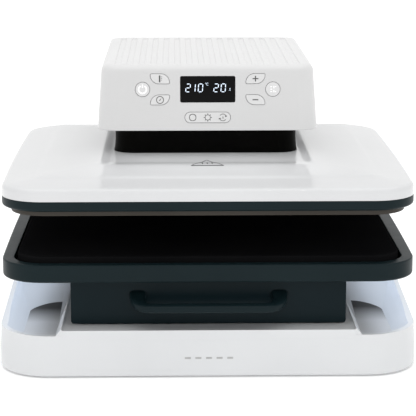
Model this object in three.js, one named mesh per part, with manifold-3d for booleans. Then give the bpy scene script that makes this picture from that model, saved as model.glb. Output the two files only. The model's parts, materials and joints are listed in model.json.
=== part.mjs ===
// Automatic flat-bed heat press: a drawer carries the lower platen out to the front, and a
// motor-driven screw in the head lowers a heated platen onto it.
// Millimetres. +X is the operator's right, -Y is the operator's side, +Z is up.
// The origin is on the ground under the centre of the machine's outline.
import * as THREE from "three";
import { mergeVertices } from "three/addons/utils/BufferGeometryUtils.js";
import Module from "manifold-3d";

const wasm = await Module();
wasm.setup();

// ---- Driving dimensions ---------------------------------------------------------------------
const CLEAR = 0.3; // gap between fixed neighbours that are cut for each other
const SLIP = 0.4; // gap between parts that slide on each other
const LEVELS = 6; // segments in a quarter circle of a large corner

// Base
const BASE_W = 422;
const BASE_D = 450;
const BASE_R = 52;
const BASE_WALL = 3;
const FOOT_H = 1.5;
const FOOT_R = 13;
const FOOT_INSET = 58;
const LEDGE_Z = 49; // top of the middle platform under the drawer
const RIDGE_X = 145.4; // inner face of the ridge between the platform and a wing
const RIDGE_T = 6;
const RIDGE_RISE = 1; // ridge above the platform and above the lip
const RIDGE_L = 130;
const LIP_Z = 43.5; // front lip of each side wing
const WING_RISE = 37; // rise of the wings' rim from the lip to the rear deck
const DECK_Z = 98.5; // rear deck behind the drawer
const DECK_D = 42;
const DECK_EDGE_R = 14;
const POCKET_FLOOR_Z = 32.5;
const POCKET_OUT_X = 188;
const POCKET_FRONT = 7;
const POCKET_D = 163;
const POCKET_SWEEP = 32; // how far its floor's arc comes forward at the outer side
const POCKET_WALL = 6.5; // base's outer wall beside a pocket, at its front corner
const BOTTOM_PLATE_T = 1.5;
const PLATE_GAP = 0.1; // bottom plate to the base's rebate

// Drawer and lower platen
const DRAWER_GAP = 1; // drawer above the platform
const TRAY_W = 410;
const TRAY_D = 404;
const TRAY_R = 42;
const TRAY_BOW = 2; // sides of the tray stand out this much at their middle
const TRAY_H = 18;
const TRAY_RIM = 11;
const TRAY_FLOOR_T = 3;
const PAD_W = 381;
const PAD_R = 30;
const PAD_T = 14;
const PAD_EDGE = 2; // rounding of the pad's upper edge
const LOWER_PLATE_T = 7;
const FRONT_W = 275;
const FRONT_H = 47.5;
const FRONT_T = 3;
const FRONT_SETBACK = 22; // drawer front behind the tray's front edge
const FRONT_R = 3;
const CHASSIS_T = 1.5;
const HANDLE_W = 157;
const HANDLE_PROUD = 7; // how far the handle stands ahead of the base
const HANDLE_BAR_D = 15;
const HANDLE_BAR_H = 8;
const HANDLE_BAR_Z = 71.5;
const HANDLE_ROOT_Z = 78.5;
const HANDLE_ARM_W = 17;
const SLIDE_H = 34;
const SLIDE_L = 360;
const SLIDE_T = 1.2;
const SLIDE_W = 12;
const SUPPORT_HALF_W = 115;
const SUPPORT_L = 368;
const SUPPORT_WALL = 4;

// Heated platen and its cover
const PLATEN_GAP = 41; // pad to heated platen, open
const PLATEN_W = 382;
const PLATEN_D = 374;
const PLATEN_T = 12;
const PLATEN_R = 30;
const ELEMENT_W = 8;
const ELEMENT_RUNS = 6;
const ELEMENT_PITCH = 56;
const ELEMENT_HALF = 150;
const BOARD_W = 360;
const BOARD_T = 8;
const COVER_W = 408;
const COVER_D = 400;
const COVER_R = 42;
const COVER_BOW = 3; // sides of the cover stand out this much at their middle
const COVER_WALL = 2.5;
const TRIM_DROP = 1; // platen face below the trim's lower edge
const TRIM_LIP_H = 5;
const TRIM_LIP_INSET = 9;
const TRIM_H = 15.5;
const COVER_SIDE_H = 12;
const BAND_W = 36; // sloping band round the cover's edge
const BAND_H = 5;
const CROWN_H = 6.5;
const TROUGH_W = 216; // shallow trough in the cover, under the head
const TROUGH_DEPTH = 3.5;
const TROUGH_FRONT = 78;
const TROUGH_RAMP = 26;

// Neck shroud
const SHROUD_W = 193;
const SHROUD_D = 100;
const SHROUD_FRONT = 157;
const SHROUD_H = 90;
const SHROUD_R = 22;
const SHROUD_WALL = 2.5;
const SHROUD_FLARE = 1.4;
const SHROUD_FLARE_H = 14;

// Head and column
const HEAD_W = 221.5;
const HEAD_TOP_W = 212.5;
const HEAD_FRONT = 62;
const HEAD_H = 65;
const HEAD_GAP = 36; // head underside above the cover's crown
const HEAD_R = 20;
const HEAD_WALL = 3;
const HEAD_EDGE_R = 7;
const FACE_TILT = THREE.MathUtils.degToRad(4);
const BACK_R = 130; // big curve from the head's top into the column's back
const COLUMN_GAP = 8; // column face behind the cover
const COLUMN_SETBACK = 2; // column's back ahead of the base's back
const COLUMN_R = 12;
const RIB_PITCH = 12;
const RIB_COUNT = 16;
const RIB_CUT_W = 6;
const RIB_CUT_T = 1;

// Control face, as distances from its centre along X and up the face
const KEY_PROUD = 0.6;
const KEY_GAP = 0.4; // retaining flange behind the wall
const BOARD_DEPTH = 9; // board's front behind the face
const KEY_TRAVEL = 0.8;
const KEY_CLEAR = 0.35;
const KEY_FLANGE = 1;
const ROUND_KEY_R = 7.1;
const ROUND_KEY_X = 65;
const LEAF_W = 18.8;
const LEAF_H = 9.7;
const LEAF_X = 47.6;
const LEAF_UP = 10.5;
const MODE_W = 45.4;
const MODE_H = 10.4;
const MODE_UP = -19.3;
const KEY_ROW_UP = 8.8; // main row above the face's centre
const WINDOW_W = 54.5;
const WINDOW_H = 25.8;
const WINDOW_T = 2;
const WINDOW_R = 1.4;

// Press drive: the screw and guide rods stand on the platen and rise through the arm plate
const FRAME_T = 6;
const FRAME_X = 72;
const FRAME_BAR = 34;
const FRAME_ARM_H = 30;
const SCREW_R = 8;
const SCREW_H = 110;
const ROD_R = 6;
const ROD_X = 54;
const BUSH_R = 10;
const BUSH_FLANGE = 3;
const GEAR_MODULE = 1.5;
const NUT_TEETH = 40;
const PINION_TEETH = 14;
const GEAR_H = 9;
const NUT_R = 13;
const MOTOR_R = 18;
const MOTOR_L = 24;
const MOTOR_SHAFT_R = 3;
const FRAME_BAR_UP = 26; // depth of the frame's upright
const FRAME_GAP = 4; // frame to the inside of the head shell
const HAUNCH = 8; // corner gusset of the frame
const ARM_REACH = 40; // arm ahead of the press axis

// Rear power entry
const ENTRY_Z = 64.5;
const BEZEL_T = 1.5;
const BEZEL_LAP = 2.5; // bezel beyond its opening
const INLET_X = -102;
const INLET_W = 28;
const INLET_H = 20;
const SWITCH_X = -133;
const SWITCH_W = 15;
const SWITCH_H = 21;
const ROCKER_TILT = THREE.MathUtils.degToRad(8);
const REAR_COVER_W = 130;
const REAR_COVER_H = 56;
const REAR_COVER_Z = 112.5;
const REAR_COVER_R = 5;
const VENT_COUNT = 9;
const VENT_PITCH = 12;
const VENT_W = 4;

// ---- Derived places -------------------------------------------------------------------------
const FRONT = -(BASE_D + BEZEL_T - HANDLE_PROUD) / 2; // base and tray front plane
const BACK = FRONT + BASE_D;
const DECK_FRONT = BACK - DECK_D;
const DRAWER_Z = LEDGE_Z + DRAWER_GAP;
const TRAY_Z = DRAWER_Z + FRONT_H;
const TRAY_TOP = TRAY_Z + TRAY_H;
const TRAY_MID_Y = FRONT + TRAY_D / 2;
const LOWER_PLATE_Z = TRAY_Z + TRAY_FLOOR_T;
const PAD_Z = LOWER_PLATE_Z + LOWER_PLATE_T;
const PAD_TOP = PAD_Z + PAD_T;
const PLATEN_Z = PAD_TOP + PLATEN_GAP;
const TRIM_Z = PLATEN_Z + TRIM_DROP;
const COVER_Z = TRIM_Z + TRIM_H;
const COVER_SHOULDER = COVER_Z + COVER_SIDE_H;
const COVER_TOP = COVER_SHOULDER + BAND_H + CROWN_H;
const TROUGH_Z = COVER_TOP - TROUGH_DEPTH;
const HEAD_Z = COVER_TOP + HEAD_GAP;
const HEAD_TOP = HEAD_Z + HEAD_H;
const COVER_MID_Y = FRONT + COVER_D / 2;
const COLUMN_FRONT = FRONT + COVER_D + COLUMN_GAP;
const COLUMN_BACK = BACK - COLUMN_SETBACK;
const PRESS_Y = FRONT + SHROUD_FRONT + SHROUD_D / 2; // press axis
const ARM_Z = HEAD_Z + 8;
const FACE_MID_Z = HEAD_Z + HEAD_H / 2;
const MOTOR_OFFSET = (GEAR_MODULE * (NUT_TEETH + PINION_TEETH)) / 2 + CLEAR;
const CUTOUT_X = 120;
const CUTOUT_Y = COVER_MID_Y - 110;

// ---- Colours and finishes -------------------------------------------------------------------
function finish(color, roughness, metalness = 0) {
  return new THREE.MeshStandardMaterial({ color, roughness, metalness });
}
const white = finish(0xe9eaec, 0.25);
const key = finish(0xf0f0f0, 0.4);
const slate = finish(0x262d31, 0.5);
const black = finish(0x111212, 0.45);
const rubber = finish(0x17181a, 0.9);
const silicone = finish(0x151617, 0.8);
const steel = finish(0x9a9da0, 0.4, 1);
const zinc = finish(0xb8babd, 0.35, 1);
const aluminium = finish(0xc2c4c6, 0.4, 1);
const brass = finish(0xb08d4a, 0.35, 1);
const glass = finish(0x0c0c0d, 0.1);
const board = finish(0x1f5a36, 0.6);
const insulation = finish(0xd8d2c4, 0.95);

// ---- Geometry helpers -----------------------------------------------------------------------
// Rounded rectangle as a Shape, centred on (cx, cy). radii may be one number or four,
// anticlockwise from the corner at -x -y.
function roundedRect(w, h, radii, cx = 0, cy = 0) {
  const [a, b, c, d] = Array.isArray(radii) ? radii : [radii, radii, radii, radii];
  const x0 = cx - w / 2;
  const x1 = cx + w / 2;
  const y0 = cy - h / 2;
  const y1 = cy + h / 2;
  const shape = new THREE.Shape();
  shape.moveTo(x0 + a, y0);
  shape.lineTo(x1 - b, y0);
  if (b) shape.absarc(x1 - b, y0 + b, b, -Math.PI / 2, 0);
  shape.lineTo(x1, y1 - c);
  if (c) shape.absarc(x1 - c, y1 - c, c, 0, Math.PI / 2);
  shape.lineTo(x0 + d, y1);
  if (d) shape.absarc(x0 + d, y1 - d, d, Math.PI / 2, Math.PI);
  shape.lineTo(x0, y0 + a);
  if (a) shape.absarc(x0 + a, y0 + a, a, Math.PI, 1.5 * Math.PI);
  return shape;
}

function polygon(points) {
  return new THREE.Shape(points.map(([x, y]) => new THREE.Vector2(x, y)));
}

// Shape in X and Y, raised from z0 to z1.
function plate(shape, z0, z1, curveSegments = LEVELS) {
  return new THREE.ExtrudeGeometry(shape, {
    depth: z1 - z0,
    bevelEnabled: false,
    curveSegments,
  }).translate(0, 0, z0);
}

// Shape in Y and Z, running from x0 to x1.
function along_x(shape, x0, x1, curveSegments = LEVELS) {
  const basis = new THREE.Matrix4().makeBasis(
    new THREE.Vector3(0, 1, 0),
    new THREE.Vector3(0, 0, 1),
    new THREE.Vector3(1, 0, 0),
  );
  return plate(shape, x0, x1, curveSegments).applyMatrix4(basis);
}

// Shape in X and Z, running from y0 to y1.
function along_y(shape, y0, y1, curveSegments = LEVELS) {
  const basis = new THREE.Matrix4().makeBasis(
    new THREE.Vector3(1, 0, 0),
    new THREE.Vector3(0, 0, 1),
    new THREE.Vector3(0, -1, 0),
  );
  return plate(shape, -y1, -y0, curveSegments).applyMatrix4(basis);
}

function box(x0, x1, y0, y1, z0, z1) {
  return new THREE.BoxGeometry(x1 - x0, y1 - y0, z1 - z0).translate(
    (x0 + x1) / 2,
    (y0 + y1) / 2,
    (z0 + z1) / 2,
  );
}

function rod(r, z0, z1, x = 0, y = 0, sides = 24) {
  return new THREE.CylinderGeometry(r, r, z1 - z0, sides)
    .rotateX(Math.PI / 2)
    .translate(x, y, (z0 + z1) / 2);
}

// One level of a loft: a rounded rectangle of points, anticlockwise seen from above.
function level(z, w, y0, y1, r, steps = LEVELS, sideSteps = 1, endSteps = 1) {
  const points = [];
  const corners = [
    [w / 2 - r, y0 + r, -90],
    [w / 2 - r, y1 - r, 0],
    [-w / 2 + r, y1 - r, 90],
    [-w / 2 + r, y0 + r, 180],
  ];
  corners.forEach(([cx, cy, start], corner) => {
    for (let i = 0; i <= steps; i += 1) {
      const a = THREE.MathUtils.degToRad(start + (90 * i) / steps);
      points.push(new THREE.Vector3(cx + r * Math.cos(a), cy + r * Math.sin(a), z));
    }
    // From each corner to the next: right side, back, left side, and the front as one segment.
    const last = points[points.length - 1];
    const [nextX, nextY] = corners[(corner + 1) % 4];
    const count = [sideSteps, endSteps, sideSteps, 1][corner];
    for (let i = 1; i < count; i += 1) {
      const share = i / count;
      const x = corner === 1 ? last.x + (nextX - last.x) * share : last.x;
      const y = corner === 1 ? last.y : last.y + (nextY - last.y) * share;
      points.push(new THREE.Vector3(x, y, z));
    }
  });
  return points;
}

// A level whose left and right sides bow outwards in the middle.
function bowed(bow, z, w, y0, y1, r) {
  const points = level(z, w, y0, y1, r, LEVELS, 6);
  const mid = (y0 + y1) / 2;
  const half = (y1 - y0) / 2;
  for (const p of points) p.x += (p.x / (w / 2)) * bow * (1 - ((p.y - mid) / half) ** 2);
  return points;
}

// A closed skin through levels that all have the same number of points, lowest first. With
// open ends, the last level joins the first one again, which makes a tube with a wall.
function loft(levels, openEnds = false) {
  const n = levels[0].length;
  const count = levels.length;
  const position = levels.flat().flatMap((p) => [p.x, p.y, p.z]);
  const index = [];
  for (let k = 0; k < (openEnds ? count : count - 1); k += 1) {
    for (let i = 0; i < n; i += 1) {
      const j = (i + 1) % n;
      const here = k * n;
      const next = ((k + 1) % count) * n;
      index.push(here + i, here + j, next + j, here + i, next + j, next + i);
    }
  }
  const top = (count - 1) * n;
  for (let i = 1; !openEnds && i + 1 < n; i += 1) {
    index.push(0, i + 1, i);
    index.push(top, top + i, top + i + 1);
  }
  const g = new THREE.BufferGeometry();
  g.setAttribute("position", new THREE.Float32BufferAttribute(position, 3));
  g.setIndex(index);
  return g;
}

// Tube between an outer skin and an inner one that share their heights.
function tube(outerLevels, innerLevels) {
  return loft([...outerLevels, ...innerLevels.reverse()], true);
}

function solid(geometry) {
  const g = geometry.clone();
  g.deleteAttribute("normal");
  g.deleteAttribute("uv");
  const merged = mergeVertices(g, 1e-3);
  return new wasm.Manifold(
    new wasm.Mesh({
      numProp: 3,
      vertProperties: new Float32Array(merged.attributes.position.array),
      triVerts: new Uint32Array(merged.index.array),
    }),
  );
}

function join(first, ...others) {
  return others.reduce((sum, g) => sum.add(solid(g)), solid(first));
}

function cut(from, ...tools) {
  return tools.reduce((left, g) => left.subtract(solid(g)), from);
}

function geometryOf(manifold) {
  const m = manifold.getMesh();
  const position = new Float32Array(m.numVert * 3);
  for (let i = 0; i < m.numVert; i += 1) {
    position.set(m.vertProperties.subarray(i * m.numProp, i * m.numProp + 3), i * 3);
  }
  const g = new THREE.BufferGeometry();
  g.setAttribute("position", new THREE.BufferAttribute(position, 3));
  g.setIndex(new THREE.BufferAttribute(m.triVerts, 1));
  return g;
}

const press = new THREE.Group();

function add(name, shape, material, parent = press) {
  const geometry = shape.isBufferGeometry ? shape : geometryOf(shape);
  const mesh = new THREE.Mesh(geometry, material);
  mesh.name = name;
  parent.add(mesh);
  return mesh;
}

const SIDES = [
  ["left", -1],
  ["right", 1],
];

// ---- Base -----------------------------------------------------------------------------------
// Side view of the base: the wings' rim climbs from the front lip to the rear deck.
function baseSideView() {
  const s = new THREE.Shape();
  const r = DECK_EDGE_R;
  s.moveTo(FRONT, FOOT_H);
  s.lineTo(BACK, FOOT_H);
  s.lineTo(BACK, DECK_Z - r);
  s.absarc(BACK - r, DECK_Z - r, r, 0, Math.PI / 2);
  s.lineTo(DECK_FRONT, DECK_Z);
  s.lineTo(DECK_FRONT, LIP_Z + WING_RISE);
  const from = FRONT + 60;
  s.quadraticCurveTo((from + DECK_FRONT) / 2, LIP_Z + WING_RISE * 0.49, from, LIP_Z + 2);
  s.lineTo(FRONT, LIP_Z);
  return s;
}

// The hollow of one wing: a flat floor that ends in an arc, an upright inner side and front, and
// an outer side and back that lean outwards.
function pocketTool(side) {
  const inner = RIDGE_X + RIDGE_T;
  const y0 = FRONT + POCKET_FRONT;
  // up from the floor, out to the side, out to the back
  const steps = [
    [0, 0, 0],
    [2, 3, 10],
    [6, 8, 34],
    [11, 14, 66],
    [22, 18, 125],
    [60, 20, 190],
  ];
  const levels = steps.map(([up, out, back]) => {
    const w = POCKET_OUT_X + out - inner;
    const y1 = y0 + POCKET_D + back;
    return level(POCKET_FLOOR_Z + up, w, y0, y1, 5, LEVELS, 1, 6).map((p) => {
      const outerness = (p.x + w / 2) / w;
      const far = THREE.MathUtils.smoothstep(p.y, y0, y1);
      const sweep = POCKET_SWEEP * outerness ** 2.5 * far;
      return new THREE.Vector3(inner + w / 2 + p.x, p.y - sweep, p.z);
    });
  });
  const g = loft(levels);
  return side > 0 ? g : mirrorX(g);
}

function mirrorX(geometry) {
  const g = geometry.clone().scale(-1, 1, 1);
  const index = Array.from(g.index.array);
  for (let i = 0; i < index.length; i += 3) {
    [index[i + 1], index[i + 2]] = [index[i + 2], index[i + 1]];
  }
  g.setIndex(index);
  return g;
}

function buildBase() {
  const outer = loft([
    level(FOOT_H, BASE_W - 5, FRONT + 2.5, BACK - 2.5, BASE_R - 2.5),
    level(FOOT_H + 1, BASE_W - 1.4, FRONT + 0.7, BACK - 0.7, BASE_R - 0.7),
    level(FOOT_H + 4, BASE_W, FRONT, BACK, BASE_R),
    level(FOOT_H + 20, BASE_W, FRONT, BACK, BASE_R),
    level(DECK_Z + 1, BASE_W - 10, FRONT + 2, BACK, BASE_R),
  ]);
  let shell = solid(outer).intersect(solid(along_x(baseSideView(), -BASE_W, BASE_W)));
  const inset = 2 * POCKET_WALL;
  const rim = roundedRect(BASE_W - inset, BASE_D - inset, BASE_R - POCKET_WALL, 0, (FRONT + BACK) / 2);
  const within = solid(plate(rim, 0, 2 * DECK_Z));
  for (const [, side] of SIDES) shell = shell.subtract(solid(pocketTool(side)).intersect(within));
  // Platform under the drawer, between the ridges.
  shell = cut(
    shell,
    box(-RIDGE_X, RIDGE_X, FRONT - 1, DECK_FRONT, LEDGE_Z, DECK_Z + 20),
  ).add(solid(platformFill()));
  for (const [, side] of SIDES) shell = shell.add(solid(ridge(side)));
  return hollowBase(shell);
}

// Fills the front of the platform up to its level, where the wings' lip is lower.
function platformFill() {
  return box(-RIDGE_X - 0.5, RIDGE_X + 0.5, FRONT, FRONT + 120, LIP_Z - 4, LEDGE_Z);
}

// Sloping strip from the platform's edge down to the pocket's inner wall.
function ridge(side) {
  const outerX = RIDGE_X + RIDGE_T;
  const rootZ = LIP_Z - 4;
  const section = [
    [RIDGE_X, rootZ],
    [outerX, rootZ],
    [outerX, LIP_Z + RIDGE_RISE],
    [RIDGE_X + 1, LEDGE_Z + RIDGE_RISE],
    [RIDGE_X, LEDGE_Z + RIDGE_RISE],
  ];
  const outline = polygon(section.map(([x, z]) => [side * x, z]));
  return along_y(outline, FRONT + 1, FRONT + RIDGE_L);
}

function hollowBase(solidBase) {
  const w = BASE_WALL;
  let shell = cut(
    solidBase,
    loft([
      level(0, BASE_W - 16, FRONT + 8, BACK - 8, BASE_R - 8),
      level(FOOT_H + BOTTOM_PLATE_T, BASE_W - 14, FRONT + 7, BACK - 7, BASE_R - 7),
    ]),
    box(-RIDGE_X + w, RIDGE_X - w, FRONT + 9, BACK - w, 0, LEDGE_Z - w),
    box(-RIDGE_X + w, RIDGE_X - w, DECK_FRONT + w, BACK - w, 0, DECK_Z - w),
  );
  for (const [, side] of SIDES) {
    const near = side * (RIDGE_X + w);
    const far = side * (BASE_W / 2 - BASE_R / 2);
    const x0 = Math.min(near, far);
    const x1 = Math.max(near, far);
    shell = cut(
      shell,
      box(x0, x1, FRONT + 22, BACK - 22, 0, POCKET_FLOOR_Z - w),
      box(x0, x1, DECK_FRONT + w, BACK - 22, 0, DECK_Z - DECK_EDGE_R - w),
    );
  }
  // Mains inlet and switch in the rear wall.
  const entries = [
    [INLET_X, INLET_W, INLET_H],
    [SWITCH_X, SWITCH_W, SWITCH_H],
  ];
  for (const [x, entryW, entryH] of entries) {
    const hole = roundedRect(entryW + 2 * CLEAR, entryH + 2 * CLEAR, 1.5, x, ENTRY_Z);
    shell = cut(shell, along_y(hole, BACK - 10, BACK + 5, 2));
  }
  // The frame's uprights and the cables rise through the deck into the column.
  const half = HEAD_W / 2 - 14;
  return cut(shell, box(-half, half, DECK_FRONT + w, BACK - w - 4, DECK_Z - 10, DECK_Z + 10));
}

// ---- Head and column ------------------------------------------------------------------------
function headWidth(z) {
  return THREE.MathUtils.mapLinear(z, HEAD_Z, HEAD_TOP, HEAD_W, HEAD_TOP_W);
}

function headFrontY(z) {
  return FRONT + HEAD_FRONT + (z - HEAD_Z) * Math.tan(FACE_TILT);
}

// Back line of the head and column at height z, inset by t all round the big curve.
function backY(z, t = 0) {
  const centreY = COLUMN_BACK - BACK_R;
  const centreZ = HEAD_TOP - BACK_R;
  const r = BACK_R - t;
  if (z <= centreZ) return centreY + r;
  return centreY + Math.sqrt(Math.max(r * r - (z - centreZ) ** 2, 0));
}

function headSkin(inset) {
  const bottom = HEAD_Z - (inset ? 0.5 : 0);
  const edge = HEAD_EDGE_R - (inset ? inset : 0);
  const top = HEAD_TOP - inset;
  const zs = [bottom];
  for (let i = 1; i <= 4; i += 1) zs.push(bottom + ((top - edge - bottom) * i) / 4);
  for (let i = 1; i <= 3; i += 1) zs.push(top - edge + edge * Math.sin((Math.PI * i) / 6));
  return loft(
    zs.map((z) => {
      const over = Math.max(0, z - (top - edge));
      const roll = edge - Math.sqrt(Math.max(edge * edge - over * over, 0));
      const w = headWidth(Math.max(z, HEAD_Z)) - 2 * inset - 2 * roll;
      const y0 = headFrontY(Math.max(z, HEAD_Z)) + inset + roll;
      const r = Math.max(HEAD_R - inset - roll, 6);
      return level(z, w, y0, backY(Math.min(z, HEAD_TOP - inset), inset), r);
    }),
  );
}

function columnLevels(inset) {
  const curveZ = HEAD_TOP - BACK_R;
  const steps = 4;
  const zs = [DECK_Z + CLEAR, curveZ];
  for (let i = 1; i <= steps; i += 1) zs.push(curveZ + ((HEAD_Z - CLEAR - curveZ) * i) / steps);
  const y0 = COLUMN_FRONT + inset;
  const w = HEAD_W - 2 * inset;
  return zs.map((z) => level(z, w, y0, backY(z, inset), COLUMN_R - inset, 4));
}

// Cover round the frame's uprights, with an opening for the vented panel at its back.
function buildColumn() {
  const rear = roundedRect(
    REAR_COVER_W + 2 * CLEAR,
    REAR_COVER_H + 2 * CLEAR,
    REAR_COVER_R + CLEAR,
    0,
    REAR_COVER_Z + REAR_COVER_H / 2,
  );
  const walls = tube(columnLevels(0), columnLevels(HEAD_WALL));
  return cut(solid(walls), along_y(rear, COLUMN_BACK - 10, COLUMN_BACK + 5, 3));
}

// Outline of a key, centred on its own middle and grown by a margin. A leaf has one pair of
// opposite corners sharp, and the other pair swept right across.
function keyShape(kind, grow, falling) {
  if (kind === "round") return new THREE.Shape().absarc(0, 0, ROUND_KEY_R + grow, 0, 2 * Math.PI);
  if (kind === "mode") {
    return roundedRect(MODE_W + 2 * grow, MODE_H + 2 * grow, MODE_H / 2 + grow - 0.01);
  }
  const big = LEAF_H - 1.2 + grow;
  const small = 1 + grow;
  const radii = falling ? [big, small, big, small] : [small, big, small, big];
  return roundedRect(LEAF_W + 2 * grow, LEAF_H + 2 * grow, radii);
}

// name, outline, X, height up the face, leaf falls from left to right
const KEYS = [
  ["power_key", "round", -ROUND_KEY_X, KEY_ROW_UP, false],
  ["temperature_key", "leaf", -LEAF_X, KEY_ROW_UP + LEAF_UP, true],
  ["timer_key", "leaf", -LEAF_X, KEY_ROW_UP - LEAF_UP, false],
  ["plus_key", "leaf", LEAF_X, KEY_ROW_UP + LEAF_UP, false],
  ["minus_key", "leaf", LEAF_X, KEY_ROW_UP - LEAF_UP, true],
  ["unit_key", "round", ROUND_KEY_X, KEY_ROW_UP, false],
  ["mode_key", "mode", 0, MODE_UP, false],
];

// Local frame of the sloping control face: x along the face, y up it, z out towards the user.
const face = new THREE.Group();
face.position.set(0, headFrontY(FACE_MID_Z), FACE_MID_Z);
face.rotation.x = Math.PI / 2 - FACE_TILT;
face.updateMatrix();
press.add(face);

function onFace(geometry) {
  return geometry.clone().applyMatrix4(face.matrix);
}

function buildHead() {
  const centreRib = (RIB_COUNT - 1) / 2;
  const ribs = [];
  for (let i = 0; i < RIB_COUNT; i += 1) {
    const x = (i - centreRib) * RIB_PITCH;
    ribs.push(
      box(
        x - RIB_CUT_W / 2,
        x + RIB_CUT_W / 2,
        headFrontY(HEAD_TOP) + HEAD_EDGE_R + 5,
        COLUMN_BACK - BACK_R - 6,
        HEAD_TOP - RIB_CUT_T,
        HEAD_TOP + 5,
      ),
    );
  }
  const openings = KEYS.map(([, kind, x, up, falling]) =>
    onFace(plate(keyShape(kind, KEY_CLEAR, falling), -20, 20, 4).translate(x, up, 0)),
  );
  openings.push(
    onFace(
      plate(
        roundedRect(WINDOW_W + 2 * CLEAR, WINDOW_H + 2 * CLEAR, WINDOW_R + CLEAR),
        -20,
        20,
      ).translate(0, KEY_ROW_UP, 0),
    ),
  );
  return cut(solid(headSkin(0)).subtract(solid(headSkin(HEAD_WALL))), ...ribs, ...openings);
}

// Plate that closes the head's underside and leaves a slot for the shroud.
function buildHeadUnderside() {
  const z0 = HEAD_Z + 1;
  const z1 = HEAD_Z + 3.5;
  const inset = HEAD_WALL + CLEAR;
  const w = headWidth(z0) - 2 * inset - 1;
  const y0 = headFrontY(z1) + inset;
  const panel = plate(
    roundedRect(w, COLUMN_FRONT - 2 - y0, [HEAD_R - inset, HEAD_R - inset, 2, 2], 0,
      (y0 + COLUMN_FRONT - 2) / 2),
    z0,
    z1,
  );
  const slot = plate(
    roundedRect(SHROUD_W + 4, SHROUD_D + 4, SHROUD_R + 2, 0, PRESS_Y),
    z0 - 5,
    z1 + 5,
  );
  return cut(solid(panel), slot);
}

// Keys with a retaining flange behind the wall and a stem towards the board.
function buildControls() {
  for (const [name, kind, x, up, falling] of KEYS) {
    const cap = plate(keyShape(kind, 0, falling), -HEAD_WALL - 0.5, KEY_PROUD, 4);
    const flange = plate(
      keyShape(kind, KEY_FLANGE, falling),
      -HEAD_WALL - KEY_GAP - KEY_FLANGE,
      -HEAD_WALL - KEY_GAP,
      4,
    );
    const stem = rod(2, -BOARD_DEPTH + KEY_TRAVEL + 0.6, -HEAD_WALL - KEY_GAP, 0, 0, 12);
    add(name, join(cap, flange, stem), key, face).position.set(x, up, 0);
  }
  const w = WINDOW_W;
  const h = WINDOW_H;
  const window = plate(roundedRect(w, h, WINDOW_R), -WINDOW_T, 0);
  add("display_window", window, glass, face).position.set(0, KEY_ROW_UP, 0);
  const module = box(-w / 2 + 3, w / 2 - 3, -h / 2 + 2, h / 2 - 2, -BOARD_DEPTH + CLEAR, -3);
  add("display_module", module, black, face).position.set(0, KEY_ROW_UP, 0);
  const boardPlate = box(-85, 85, -22, 24, -BOARD_DEPTH - 1.6, -BOARD_DEPTH);
  add("control_board", boardPlate, board, face).position.set(0, -4, 0);
}

// ---- Heated platen --------------------------------------------------------------------------
function coverSkin(inset, zStart) {
  const at = (z, inwards, r) => {
    const w = COVER_W - 2 * inwards;
    return bowed(COVER_BOW, z, w, FRONT + inwards, FRONT + COVER_D - inwards, r);
  };
  const edge = COVER_SHOULDER - inset;
  const crown = COVER_TOP - inset;
  const r = COVER_R - inset;
  return loft([
    at(zStart, inset, r),
    at(edge - 4, inset, r),
    at(edge - 1, inset + 1, r),
    at(edge + 0.5, inset + 4, r),
    at(edge + BAND_H - 0.5, BAND_W - 4, r),
    at(edge + BAND_H + 0.4, BAND_W + 3, r),
    at(crown - 2, BAND_W + 34, r),
    at(crown - 0.5, BAND_W + 70, r),
    at(crown, BAND_W + 110, 20),
  ]);
}

// Shallow trough that runs from a soft ramp near the front to the cover's back edge.
function troughTool(drop) {
  const z = TROUGH_Z - drop;
  const side = polygon([
    [FRONT + TROUGH_FRONT, z + CROWN_H],
    [FRONT + TROUGH_FRONT, z + TROUGH_DEPTH * 0.6],
    [FRONT + TROUGH_FRONT + TROUGH_RAMP / 2, z + TROUGH_DEPTH * 0.2],
    [FRONT + TROUGH_FRONT + TROUGH_RAMP, z],
    [FRONT + COVER_D - BAND_W, z],
    [FRONT + COVER_D + 1, z - BAND_H],
    [FRONT + COVER_D + 1, z + CROWN_H],
  ]);
  return along_x(side, -TROUGH_W / 2 - drop, TROUGH_W / 2 + drop);
}

function buildCover() {
  const outer = cut(solid(coverSkin(0, COVER_Z)), troughTool(0));
  const inner = cut(solid(coverSkin(COVER_WALL, COVER_Z - 1)), troughTool(COVER_WALL));
  const hatch = roundedRect(SHROUD_W - 40, SHROUD_D - 30, 8, 0, PRESS_Y);
  return cut(outer.subtract(inner), plate(hatch, TROUGH_Z - 10, TROUGH_Z + 10));
}

// Shroud that rides on the cover and telescopes into the head. Its back wall is low, so that
// the frame's arms pass over it.
function buildShroud() {
  const y0 = PRESS_Y - SHROUD_D / 2;
  const y1 = PRESS_Y + SHROUD_D / 2;
  const z0 = TROUGH_Z + CLEAR;
  const skin = (inset) => {
    const at = (z, grow) => {
      const w = SHROUD_W - 2 * inset + 2 * grow;
      return level(z, w, y0 + inset - grow, y1 - inset + grow, SHROUD_R - inset);
    };
    return [
      at(z0, SHROUD_FLARE),
      at(z0 + SHROUD_FLARE_H / 2, SHROUD_FLARE * 0.35),
      at(z0 + SHROUD_FLARE_H, 0),
      at(z0 + SHROUD_H, 0),
    ];
  };
  return cut(
    solid(tube(skin(0), skin(SHROUD_WALL))),
    box(-SHROUD_W, SHROUD_W, y1 - SHROUD_R, y1 + 5, ARM_Z - 8, z0 + SHROUD_H + 1),
  );
}

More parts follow.
